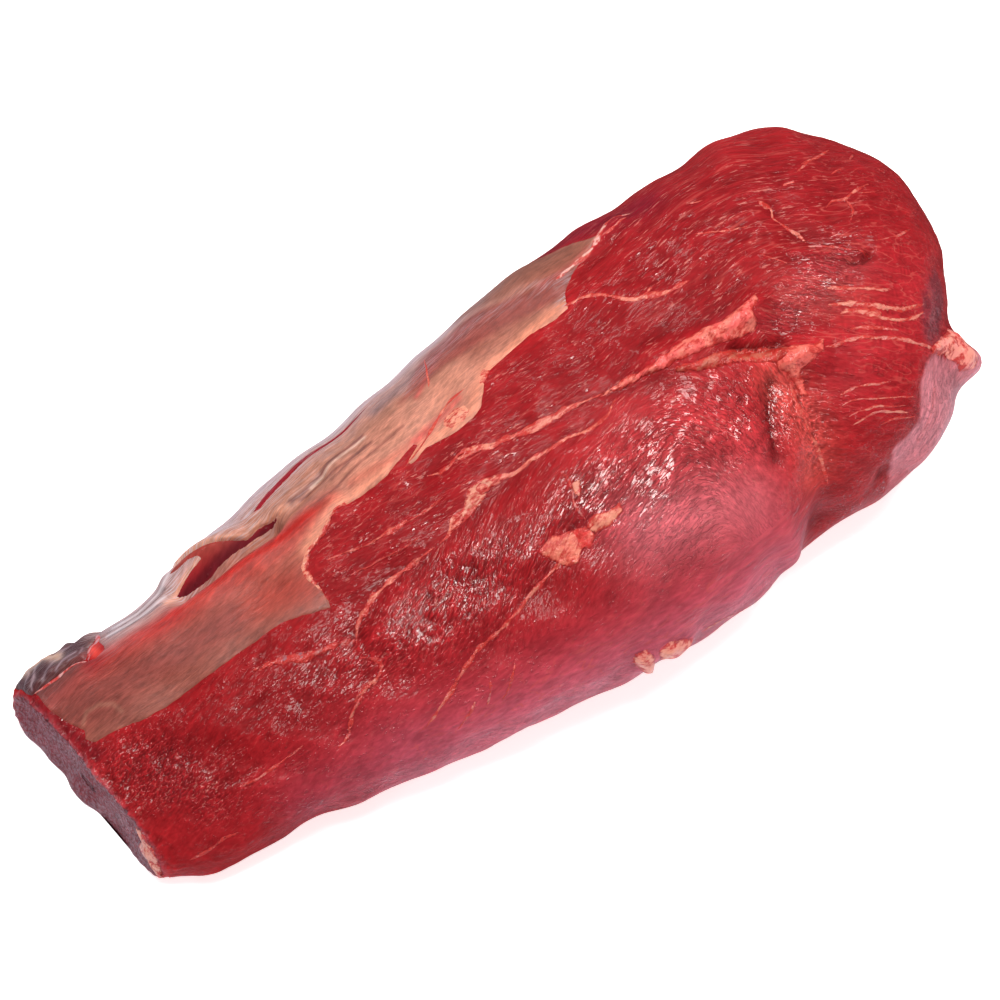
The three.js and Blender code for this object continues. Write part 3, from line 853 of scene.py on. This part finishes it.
# Silverskin: a thin sheet of connective tissue, drawn in fine threads along the muscle. It
# has a satin gloss and white streaks of painted sheen, and looks brown where the flesh shows through it.
skinLook = {
    # across and along in mm, detail and roughness; the weave lies aslant
    "noises": {"thread": (0.5, 16.0, 3.0, 0.62), "mottle": (2.4, 4.4, 5.0, 0.62),
               "streak": (0.45, 9.0, 3.0, 0.65)},
    "aslant": {"weave": (1.3, 6.0, 3.0, 0.62)}, "slant": 28,
    # low and high value of a noise, and how much these darken or brighten
    "shades": {"thread": (0.3, 0.7, 0.8, 1.18), "weave": (0.3, 0.7, 0.82, 1.17),
               "mottle": (0.3, 0.7, 0.7, 1.26)},
    "streaks": (0.46, 0.62, 0.0, 1.0), "streakTone": "#ccc0c8", "threadHeight": 0.14, "mottleHeight": 0.25,
    "rough": 0.42, "specular": 0.25, "coat": 0.35, "coatRough": 0.2, "coatIor": 1.4,
}
skinMaterial, add = newMaterial("satin silverskin")
place = add("VectorMath", {"Vector": add("UVMap", (), {"uv_map": "flat"}), "Scale": 10.0}, scale)
aslant = add("VectorRotate", {"Vector": place, "Angle": np.radians(skinLook["slant"])},
             {"rotation_type": "Z_AXIS"})
noise = {**drawnNoises(add, place, skinLook["noises"]), **drawnNoises(add, aslant, skinLook["aslant"])}
colour = add("Attribute", (), {"attribute_name": "tint"}).outputs["Color"]
for name, limits in skinLook["shades"].items():
    shade = add("MapRange", [noise[name], *limits])
    colour = add("VectorMath", {"Vector": colour, "Scale": shade}, scale)
# painted sheen: white streaks where the sheet is marked for them
streaks = add("MapRange", [noise["streak"], *skinLook["streaks"]], soft)
streaked = add("Attribute", (), {"attribute_name": "streaked"}).outputs["Fac"]
white = add("Math", [streaks, streaked], times)
colour = add("Mix", [white, colour, rgba(skinLook["streakTone"])], blendColour)
height = add("Math", [noise["thread"], skinLook["threadHeight"]], times)
height = add("Math", [noise["mottle"], skinLook["mottleHeight"], height], timesPlus)
wetShader(add, colour, height, skinLook["coat"], skinLook)


# Tints of the silverskin, and the strength of its painted sheen
def skinPaint(grid, depth):
    streaks = [strength * bellOver(path, width, grid[2]) for strength, width, path in skinTints["streaked"]]
    return {"tint": paint(skinTints, grid), "streaked": np.max(streaks, 0)}


skin = patchOnBody("silverskin_sheet", silverskin["outline"], silverskin, skinMaterial, skinPaint,
                   silverskin["bare"])
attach(skin, "root")
print("silverskin", len(skin.data.polygons), "faces")

# Loose layer over the pocket: a strip whose near edge, its first places, stands off the muscle
looseFlap = {
    "outline": [
        [50, 27.4], [52.5, 26.8], [55.3, 29.1], [59, 34.4], [61.9, 38.5], [64.3, 41.9], [67.8, 46.2],
        [69.9, 47.6], [73.9, 47.1], [76.5, 47.7], [80.9, 50.5], [91, 50.4], [96, 49], [90, 45], [78, 41],
        [70, 34], [62, 26], [56, 22]],
    "thickness": 0.5, "edge": 0.4, "tuck": 0.6, "spacing": 0.5, "ragged": 0.15,
    "curled": 11, "curl": 0.7, "curlReach": 2.4,
}


def flapCurl(smooth, inside):
    edge = pathDistance(smooth, onMuscle(looseFlap["outline"][:looseFlap["curled"]]))
    return looseFlap["curl"] * np.exp(-(edge / looseFlap["curlReach"]) ** 2) * smoothStep(inside, 0, 0.6)


flap = patchOnBody("loose_membrane", looseFlap["outline"], looseFlap, skinMaterial, skinPaint, extra=flapCurl)
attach(flap, "root")

# Wrinkled membrane over the far corner of the tail
cornerSkin = {
    "outline": [
        [1.2, 6], [1.2, 22], [1, 33], [1.4, 37.6], [3.7, 39.2], [7.7, 41.8], [12.1, 43], [14.7, 43.9],
        [17.2, 46.4], [18.4, 43], [20, 36.5], [22.4, 33], [26, 20], [28, 8], [18, 0], [6, 0]],
    "thickness": 1.1, "edge": 0.7, "tuck": 0.5, "spacing": 0.45, "lumps": 0.9, "lumpSize": (4.5, 1.5, 1.5),
}
corner = patchOnBody("corner_membrane", cornerSkin["outline"], cornerSkin, skinMaterial, skinPaint)
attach(corner, "root")

# Fat: soft and opaque with a greasy gloss, cream to coral where blood stains it. Lumps are
# 1 to 3 mm across, and it fades into the lean meat's own colour where it thins out.
fatLook = {
    # across and along in mm, detail and roughness; the edge follows the fibres
    "noises": {"lump": (1.3, 1.9, 3.0, 0.6), "stain": (1.8, 3.6, 4.0, 0.5), "mellow": (3.0, 5.0, 2.0, 0.5)},
    "alongFibres": {"edge": (0.6, 2.0, 4.0, 0.65)}, "ragged": (0.3, 0.7, -0.42, 0.42), "lumpHeight": 0.9,
    "mellow": (0.42, 0.62, 0.0, 0.4), "mellowTone": "#e89a80", "stainTone": "#c83832",
    # blood red where it begins, cream where it is thick and unstained
    "begins": (0.05, 0.5, 0.0, 0.85), "unstained": (0.38, 0.58, 0.2, -0.5), "creamy": (0.25, 0.95, 0.0, 1.0),
    "rough": 0.4, "specular": 0.2, "coat": 0.7, "coatRough": 0.12, "coatIor": 1.4,
}
fatMaterial, add = newMaterial("soft beef fat")
under, underHeight, _ = leanLook(add)
place = add("Attribute", (), {"attribute_name": "grain"}).outputs["Vector"]
tone = add("Attribute", (), {"attribute_name": "tone"}).outputs["Color"]
fatness = add("Attribute", (), {"attribute_name": "fatness"}).outputs["Fac"]
noise = drawnNoises(add, place, fatLook["noises"])
noise.update(drawnNoises(add, fibrePlace(add), fatLook["alongFibres"]))
mellow = add("MapRange", [noise["mellow"], *fatLook["mellow"]], soft)
tone = add("Mix", [mellow, tone, rgba(fatLook["mellowTone"])], blendColour)
ragged = add("MapRange", [noise["edge"], *fatLook["ragged"]])
richness = add("Math", [fatness, ragged], plus)
begins = add("MapRange", [richness, *fatLook["begins"]], soft)
thick = add("Math", [richness, add("MapRange", [noise["stain"], *fatLook["unstained"]])], plus)
creamy = add("MapRange", [thick, *fatLook["creamy"]], soft)
colour = add("Mix", [begins, under, rgba(fatLook["stainTone"])], blendColour)
colour = add("Mix", [creamy, colour, tone], blendColour)
fatHeight = add("Math", [noise["lump"], fatLook["lumpHeight"]], times)
height = add("Mix", [begins, underHeight, fatHeight], blend)
wetShader(add, colour, height, fatLook["coat"], fatLook)

# What all the lumps of fat share
fatShape = {"edge": 0.6, "tuck": 0.5, "spacing": 0.4, "domeReach": 2.6, "lumpSize": 2.6, "ragged": 0.5}
# Thicker fat, each inside its own outline: tone, thickness, dome, lumps, outline
fatLumps = {
    "main_fat_seam": ("#f66a66", 0.5, 1.3, 0.9, [
        [168, 93.2], [175, 94], [181.7, 96.4], [192.2, 96.4], [199.3, 96.6], [206.1, 98.4], [210.8, 98.2],
        [214.5, 98.2], [218.6, 96.4], [217, 99.6], [213.4, 101.6], [212.8, 104], [210, 106], [205.5, 104.8],
        [199.5, 103], [192, 101.6], [184.5, 99.8], [177, 97.2], [170, 94.8]]),
    "fat_knob": ("#f06a60", 0.5, 1.4, 0.8, [
        [209.9, 114.9], [214, 114.2], [217.5, 115.2], [221, 117.6], [225, 117.6], [222.6, 120.6],
        [217.6, 121], [214.6, 121.4], [213.4, 124], [212.4, 128], [210.6, 127], [210.6, 121.7],
        [210.2, 119.3], [208.6, 117.7]]),
    "red_strand": ("#a82620", 0.8, 0.5, 0.3, [
        [186, 100.6], [190.5, 103], [198.2, 104.6], [205.1, 106.8], [210.7, 110], [215, 113.2],
        [214.6, 116.8], [211.4, 117.4], [208, 114.6], [203, 111.4], [197, 108.4], [190, 105.6],
        [185.6, 102]]),
    "bundle_fat": ("#e0705e", 0.3, 0.6, 0.7, [
        [124.8, 118.1], [130.3, 116.2], [135.8, 118.2], [136.6, 121], [134.9, 122.9], [131.9, 126.6],
        [128.8, 126.6], [127.2, 123]]),
    "bundle_fat_red": ("#dc3c3a", 0.3, 0.4, 0.6, [
        [134.6, 118], [139.2, 118.6], [140, 122.4], [137, 124.6], [133.6, 123]]),
    "bundle_fat_far": ("#e68e78", 0.3, 0.7, 0.5, [
        [138.6, 119.2], [143, 118], [146.2, 119.3], [150.4, 119], [149.4, 121.3], [143.6, 123],
        [139.6, 122.6]]),
    "seam_fat_a": ("#d88a76", 0.15, 0.3, 0.3, [
        [110, 98.8], [111.5, 96.6], [114, 95.8], [117.9, 94.9], [121.1, 92.2], [124.7, 92], [127.3, 91.9],
        [131, 93.6], [127.4, 95], [125, 95.8], [122, 97.4], [118.1, 97.8], [115.1, 98.4]]),
    "seam_fat_b": ("#dc8272", 0.15, 0.3, 0.2, [
        [139, 86.4], [144.8, 87.2], [150.1, 88.2], [155.6, 89.4], [160.8, 91], [163, 92.4], [159.4, 92.2],
        [155.4, 91.7], [151, 91.4], [147.7, 91.2], [144.1, 90.2], [140.5, 88.5]]),
    "seam_fat_c": ("#d07a6e", 0.12, 0.2, 0.2, [
        [118, 80.6], [119.5, 79.8], [125.4, 80.2], [131.2, 83], [136, 85], [132.2, 85.2], [128.7, 83.4],
        [124.5, 81.5], [119, 82]]),
    "bundle_fat_tip": ("#e0907c", 0.15, 0.3, 0.3, [
        [143.6, 107.4], [146.2, 108.6], [144.4, 111.2], [142.8, 112.6], [141.8, 110.8]]),
    "end_scrap": ("#ff9e94", 0.6, 1.0, 0.9, [
        [252, 139.4], [256, 141.6], [260.1, 144.2], [262.6, 147.6], [265.6, 150.6], [266, 157],
        [263.5, 162.5], [261, 165.5], [258.6, 161], [258.9, 156.1], [257.5, 149.6], [252.4, 142]]),
    "near_scrap_a": ("#ea9a8c", 0.8, 1.4, 0.5, [[133, 171.5], [136.8, 171], [138.4, 177.7], [139, 190],
        [135.6, 190], [132.7, 180.2]]),
    "near_scrap_b": ("#ea9a8c", 0.8, 1.4, 0.5, [[139.6, 174.4], [143.2, 173.6], [147.6, 176],
        [150.4, 181.8], [147.4, 187.4], [143, 188], [139.8, 182.8]]),
    "face_fat": ("#e09a8c", 0.6, 1.2, 0.3, [
        [-1.2, 131.8], [-1, 150], [-1.4, 172.6], [1, 203], [-7, 199], [-12.2, 194.4], [-11.4, 170],
        [-9.6, 150], [-8, 136.6]]),
    "face_lump": ("#d84840", 0.5, 1.0, 0.4, [[-1, 91], [-0.6, 97], [-5, 99], [-7.6, 95], [-5, 89]]),
    "membrane_fat_a": ("#eb9a80", 0.4, 0.9, 0.2, [
        [128, 68], [129.5, 65.6], [134, 64.8], [137.6, 67], [137.4, 71], [133.4, 73], [129.4, 71.4]]),
    "membrane_fat_b": ("#ea9a82", 0.3, 0.6, 0.2, [
        [143, 67], [143.4, 64.4], [146, 61.4], [148.6, 61.4], [149.4, 64], [146, 67]]),
    "notch_rim": ("#dc9078", 0.35, 0.6, 0.15, [
        [95.5, 67], [91.9, 66.9], [88.4, 68.5], [83, 70.6], [77.4, 72.5], [73.6, 76], [72.6, 80],
        [73.4, 86.6], [74.2, 92], [75, 88], [74.9, 83.5], [75.4, 78.6], [78.9, 74.5], [84.4, 72.5],
        [89.3, 70.1], [92.1, 68.4], [95, 68.6]]),
}


def fatPaint(tone, grid, depth):
    return {"tone": np.broadcast_to(linear(tone), grid[2].shape), "fatness": smoothStep(depth, -0.5, 1.2)}


for name, (tone, thickness, dome, lumps, outline) in fatLumps.items():
    spec = {**fatShape, "thickness": thickness, "dome": dome, "lumps": lumps}
    fat = patchOnBody(name, outline, spec, fatMaterial, partial(fatPaint, tone))
    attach(fat, "root")
print("fat lumps", len(fatLumps))

# Seams and marbling as fine raised threads: tone, greatest width, how opaque, paths
fatThreads = {
    "sink": 0.06, "proud": 0.05, "rise": 0.06, "step": 0.5, "soft": 1.15, "wander": 0.2, "onSkin": 0.32,
    "thinnest": 0.15, "endWidth": 0.12, "endHeight": 0.25, "endSink": 0.1, "edgeFade": 0.85,
    "nudge": 0.8,  # distance over which the slopes beside a thread are taken
    "lines": [
        ("#dc7868", 2.0, 1.0, [[176, 63], [180, 64], [184, 66], [187, 70], [190, 75], [195, 78], [200, 81],
            [207, 82]]),
        ("#e87a6c", 1.0, 0.8, [[193, 78], [198, 76]]),
        ("#dc7868", 1.5, 0.95, [[105, 99], [109, 99], [113, 96], [119, 96], [125, 94], [129, 94], [134, 96],
            [140, 96], [145, 97], [151, 97], [157, 99], [163, 99], [170, 96]]),
        ("#dc7868", 2.8, 0.9, [[111, 98], [115, 97], [119, 96]]),
        ("#e08a78", 2.6, 0.9, [[122, 95], [125, 94], [130, 95]]),
        ("#d86c60", 1.3, 0.9, [[115, 78], [120, 81], [127, 80], [133, 85], [141, 87], [150, 89], [158, 91],
            [165, 93], [174, 95]]),
        ("#d87464", 2.0, 0.9, [[129, 81], [135, 85], [141, 87]]),
        ("#d66c60", 1.4, 0.9, [[105, 99], [96, 99], [88, 99], [82, 101], [76, 104], [72, 110]]),
        ("#d87464", 2.2, 0.9, [[85, 99], [80, 102], [77, 103]]),
        ("#98606a", 2.6, 0.7, [[73, 108], [67, 106], [60, 104], [52, 99], [47, 97]]),
        ("#be5450", 1.6, 0.75, [[71, 114], [74, 120], [70, 124], [66, 125], [63, 128], [60, 131], [56, 138]]),
        ("#cc665c", 1.3, 0.85, [[143, 121], [136, 119], [129, 123], [118, 126], [113, 128], [104, 131],
            [96, 133], [88, 139], [80, 146], [71, 155]]),
        ("#d8786c", 1.0, 0.9, [[238.2, 73], [239.8, 76], [238.2, 79.8], [239.5, 83.9], [241.2, 88.8],
            [241.4, 91.6]]),
        ("#dc7a6c", 2.0, 0.8, [[238.2, 72], [238.8, 74], [239.8, 76]]),
        ("#dc7a6c", 1.8, 0.8, [[240, 86], [241.2, 89], [241.4, 92]]),
        ("#d0808a", 1.0, 0.8, [[239.8, 92.1], [246.4, 96.3], [252.7, 102.2], [256.3, 106.3]]),
        ("#d06a62", 1.0, 0.8, [[252.7, 85.2], [256.6, 84], [260.6, 85], [263.7, 83.6], [270.1, 81.9]]),
        ("#cc625c", 0.8, 0.7, [[260.2, 85.1], [259.7, 89.7], [256.4, 93.5]]),
        ("#cc625c", 0.6, 0.7, [[263.8, 84.6], [269.9, 87.6]]),
        ("#cc625c", 0.7, 0.7, [[252.3, 69.1], [257.6, 66.4], [268.4, 57.1]],
            [[258.6, 102.9], [266.9, 107.1], [272.8, 109.6]]),
        ("#d8786c", 1.5, 1.0, [[236, 106.4], [239.3, 108], [241.8, 110.2], [246.6, 113.4], [253, 118.2]]),
        ("#dc8474", 1.6, 1.05, [[233, 110.2], [237.9, 112.5], [243.4, 117], [249.3, 121.9], [260, 130]]),
        ("#dc8474", 1.7, 1.05, [[234, 114.1], [237.6, 115.2], [242, 118.9], [246.8, 124.3], [253, 128.4],
            [258.6, 131]]),
        ("#dc7c6c", 2.6, 0.9, [[236, 113.6], [240, 116.6], [245, 121.4]]),
        ("#d0706a", 1.3, 1.0, [[233.5, 119], [240.2, 122.9], [246.7, 127.9]]),
        ("#d0706a", 1.4, 1.0, [[223, 119.6], [227.4, 121], [231.2, 121.7], [238.3, 125.2], [246, 131.2],
            [250.1, 136.4], [255.4, 144]]),
        ("#d0706a", 0.7, 1.0, [[218.6, 133], [224.6, 133.8], [235.7, 138.6]],
            [[217.6, 136.1], [220.4, 136.3], [230.3, 141.3], [240.7, 147.9]],
            [[217.7, 140], [224.4, 141.1], [236.9, 148.8]], [[217.6, 143.3], [225.7, 143.8], [236.9, 152]],
            [[225.5, 148.8], [230.9, 149.8], [238.1, 154.9]]),
        ("#dc6258", 1.5, 0.9, [[211, 119], [209.7, 122.9], [207.9, 130.3], [206.6, 140], [206.6, 150.6],
            [205.8, 164]]),
        # on the silverskin: vessel and lip of the tail's far corner, red veins
        ("#c88c94", 1.3, 1.1, [[22.8, 14], [24.5, 24.1], [22.8, 35], [20.3, 38], [18.3, 44.6], [17.4, 47.4]]),
        ("#c88c94", 1.0, 1.1, [[20, 22], [21, 30], [20.3, 38]]),
        ("#d8a0a0", 1.1, 1.1, [[1.4, 36.6], [3.7, 39.2], [7.7, 42], [12.1, 43.1], [14.7, 44], [17.3, 46.8]]),
        ("#d8624e", 0.9, 0.8, [[112, 71.8], [122.5, 67.8], [134.9, 62.5], [141.8, 63.6]]),
        ("#d8624e", 0.8, 0.7, [[134, 52.6], [138, 44], [141, 36.1]]),
        ("#c4828a", 0.8, 0.7, [[143.3, 103.4], [143.6, 106.3], [142.4, 109.5], [140.2, 113.2], [140, 118.6]]),
        ("#dc6e66", 0.8, 0.7, [[223, 59], [227, 61]]),
        ("#dc6e66", 0.9, 0.7, [[217, 70], [222, 73], [231, 78]]),
        ("#e0766c", 1.0, 0.8, [[256, 66], [261, 64], [269, 56]]),
        ("#dc6e66", 0.8, 0.7, [[271, 65], [274, 58]], [[247, 71], [251, 72]],
            [[227, 88], [230, 92], [232, 95]], [[262, 73], [266, 71]]),
        ("#c8787c", 0.9, 0.6, [[95, 144], [94, 148], [91, 156]], [[103, 144], [99, 151], [95, 158]]),
        ("#c8787c", 0.8, 0.6, [[89, 150], [85, 156], [81, 161]]),
        ("#c8606a", 0.9, 0.6, [[5, 163], [10, 156], [15, 151], [20, 153]],
            [[25, 131], [30, 133], [37, 133], [46, 132]], [[52, 141], [57, 137], [60, 131]]),
        ("#c85a5c", 1.0, 0.6, [[80, 80], [87, 83], [94, 86], [106, 88], [116, 89]]),
        ("#e08a78", 1.8, 0.8, [[92, 85.6], [97, 86.4], [104, 87.4]]),
        ("#c85a5c", 0.8, 0.5, [[82, 90], [91, 92], [99, 94], [104, 94]]),
        ("#e6b0a8", 1.6, 0.9, [[180, 53], [188, 51], [194, 50], [201, 46], [207, 42], [212, 44]]),
        ("#d8a09a", 1.0, 0.8, [[201, 48], [206, 47], [210, 45]]),
        ("#d88c88", 1.2, 0.7, [[154, 187], [162, 189], [172, 201]]),
    ],
}


# Smooth run through the given places, in steps of about the given length in mm
def resample(path, step):
    places = np.array(path, float)
    pieces = np.linalg.norm(np.diff(onMuscle(path), axis=0), axis=1)
    length = np.concatenate([[0], np.cumsum(pieces)])
    at = np.linspace(0, length[-1], max(int(length[-1] / step), 4) + 1)
    return cubicThrough(length, places, np.gradient(places, length, axis=0), at), at


# Straight line from low at 0 through 1 at 1
def rising(low, value):
    return low + (1 - low) * value


# Slow noise along a thread
def drift(at, size, seed, row=0):
    return noiseAt(np.stack([at, at * 0 + row, at * 0], -1), size, seed)


# Points, values and faces of a thread: a low arch carried along its path, as wide as the width
# times a taper (1 - |2s - 1|^4)^0.5 and a slow noise, with both edges sunk under the surface
def threadAlong(k, tone, width, opaque, path):
    spec = fatThreads
    run, at = resample(path, spec["step"])
    taper = np.sqrt(np.clip(1 - np.abs(2 * at / at[-1] - 1) ** 4, 0, 1))
    swell = 1 + 0.5 * drift(at, 2.3, 300 + k, 9)
    half = 0.5 * spec["soft"] * rising(spec["thinnest"], width) * swell * rising(spec["endWidth"], taper)
    along, turn = run.T
    nudge = spec["nudge"]
    alongStep = (onBody(along + nudge, turn) - onBody(along - nudge, turn)) / (2 * nudge)
    turnStep = (onBody(along, turn + nudge) - onBody(along, turn - nudge)) / (2 * nudge)
    ahead = np.gradient(onBody(along, turn), axis=0)
    side = unit(np.cross(np.cross(turnStep, alongStep), ahead))
    # the sideways step as changes of along and turn
    aa, bb = (alongStep ** 2).sum(-1), (turnStep ** 2).sum(-1)
    ab, sa, sb = (alongStep * turnStep).sum(-1), (side * alongStep).sum(-1), (side * turnStep).sum(-1)
    det = aa * bb - ab * ab
    da, dt = (sa * bb - sb * ab) / det, (sb * aa - sa * ab) / det
    profile = np.array([[-1, -0.7, -0.35, 0, 0.35, 0.7, 1]])
    reach = half[:, None] * profile + spec["wander"] * drift(at, 3.1, 200 + k)[:, None]
    places = along[:, None] + da[:, None] * reach, turn[:, None] + dt[:, None] * reach
    onSkin = gridAt(underSkin, *places)
    lift = (spec["proud"] + spec["rise"] * width) * (1 - profile ** 2)
    lift = lift * rising(spec["endHeight"], taper)[:, None]
    lift = lift - spec["sink"] * np.abs(profile) ** 3 - spec["endSink"] * (1 - taper)[:, None]
    lift = lift + spec["onSkin"] * onSkin
    comes = 0.85 + 0.35 * drift(at, 3.7, 400 + k, 4)
    richness = opaque * (1 - spec["edgeFade"] * profile ** 2)
    richness = richness * rising(spec["endHeight"], taper * comes)[:, None]
    values = valuesAt(*places)
    # over the silverskin a thread fades into a darker tone of its own
    values["tint"] += (0.75 * linear(tone) - values["tint"]) * onSkin.reshape(-1, 1)
    values["tone"] = np.broadcast_to(linear(tone), (lift.size, 3))
    values["fatness"] = richness.ravel()
    return onBody(*places, lift).reshape(-1, 3), values, gridFaces(*lift.shape)


lines = [(tone, width, opaque, path) for tone, width, opaque, *paths in fatThreads["lines"] for path in paths]
threadParts = [threadAlong(k, *line) for k, line in enumerate(lines)]
threadPoints, threadValues, threadFaces = zip(*threadParts)
starts = np.cumsum([0, *(len(points) for points in threadPoints[:-1])])
threadFaces = np.concatenate([faces + start for faces, start in zip(threadFaces, starts)]).tolist()
threadValues = {key: np.concatenate([values[key] for values in threadValues]) for key in threadValues[0]}
threads = addPiece("fat_threads", np.concatenate(threadPoints), threadFaces, threadValues, fatMaterial)
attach(threads, "root")
print("fat threads", len(threads.data.polygons), "faces")

# Floor, light and camera
studio = {
    "floor": "#ffffff", "floorSize": 4.0, "floorHeight": -0.0004, "floorGlow": 0.75,
    "world": "#dfe8ff", "worldStrength": 0.05,
    "target": (-6.0, 7.5, 28.0), "distance": 1.6, "azimuth": -38.4, "elevation": 60.0, "lens": 207.4,
    # place in metres from the target, size, power, colour, and whether it shows in the gloss
    "lights": [
        ((-0.17, -0.17, 1.64), 0.3, 6.5, "#fffaf6", True),
        ((-0.1, 0.17, 1.65), 0.26, 5.5, "#fffaf6", True),
        ((0.2, 0.42, 1.59), 0.3, 6.5, "#fffaf6", True),
        ((0.83, -0.25, 1.41), 0.26, 6, "#fffaf6", True),
        ((-0.63, 0.68, 1.38), 0.24, 4, "#fffaf6", True),
        ((0.32, 1.14, 1.16), 0.22, 4, "#fffaf6", True),
        ((1.0, 0.68, 1.18), 0.2, 3, "#fffaf6", True),
        ((0.3, -0.5, 1.5), 1.6, 6, "#fff6f0", False),
    ],
    # white cards on the floor that show only in the gloss: lowest and highest X, then Y, in metres
    "cards": [(-0.6, 0.6, -0.8, -0.035), (-0.6, 0.03, 0.045, 0.6), (-0.6, -0.135, -0.035, 0.045)],
    "cardGlow": 1.0, "cardTone": "#eef0ff", "cardHeight": -0.0002,
}


# Level rectangles in metres, as lowest and highest X, then Y
def addSheet(name, rectangles, height, material):
    corners = [(x, y, height) for x0, x1, y0, y1 in rectangles
               for x, y in ((x0, y0), (x1, y0), (x1, y1), (x0, y1))]
    mesh = bpy.data.meshes.new(name)
    mesh.from_pydata(corners, [], [tuple(range(k, k + 4)) for k in range(0, len(corners), 4)])
    mesh.materials.append(material)
    return addObject(name, mesh)


floorMaterial, add = newMaterial("matt white paper")
shader = add("BsdfPrincipled", {
    "Base Color": rgba(studio["floor"]), "Roughness": 0.9, "Emission Color": (1, 1, 1, 1),
    "Emission Strength": studio["floorGlow"]})
add("OutputMaterial", [shader])
half = studio["floorSize"] / 2
floor = addSheet("floor", [(-half, half, -half, half)], studio["floorHeight"], floorMaterial)
floor.visible_glossy = False  # the paper doesn't mirror in the wet film, as in the photo

cardMaterial, add = newMaterial("white card")
add("OutputMaterial", [add("Emission", {"Color": rgba(studio["cardTone"]), "Strength": studio["cardGlow"]})])
cards = addSheet("cards", studio["cards"], studio["cardHeight"], cardMaterial)
cards.visible_camera = cards.visible_diffuse = cards.visible_shadow = False

world = bpy.data.worlds.new("studio")
world.use_nodes = True
background = world.node_tree.nodes["Background"]
background.inputs["Color"].default_value = rgba(studio["world"])
background.inputs["Strength"].default_value = studio["worldStrength"]
bpy.context.scene.world = world
bpy.context.scene.view_settings.view_transform = "Standard"

target = Vector(studio["target"]) * metre
for k, (place, size, power, tone, glossy) in enumerate(studio["lights"]):
    lamp = bpy.data.lights.new(f"softbox_{k}", "AREA")
    lamp.size, lamp.energy, lamp.color = size, power, linear(tone)
    light = addObject(lamp.name, lamp)
    light.location = target + Vector(place)
    light.rotation_euler = Vector(place).to_track_quat("Z", "Y").to_euler()
    light.visible_glossy = glossy

azimuth, elevation = np.radians(studio["azimuth"]), np.radians(studio["elevation"])
back = Vector((np.sin(azimuth) * np.cos(elevation), -np.cos(azimuth) * np.cos(elevation), np.sin(elevation)))
lens = bpy.data.cameras.new("camera")
lens.lens, lens.sensor_width, lens.sensor_fit, lens.clip_end = studio["lens"], 36, "HORIZONTAL", 20
camera = addObject("camera", lens)
camera.location = target + back * studio["distance"]
camera.rotation_euler = back.to_track_quat("Z", "Y").to_euler()
bpy.context.scene.camera = camera

print("scene ready")
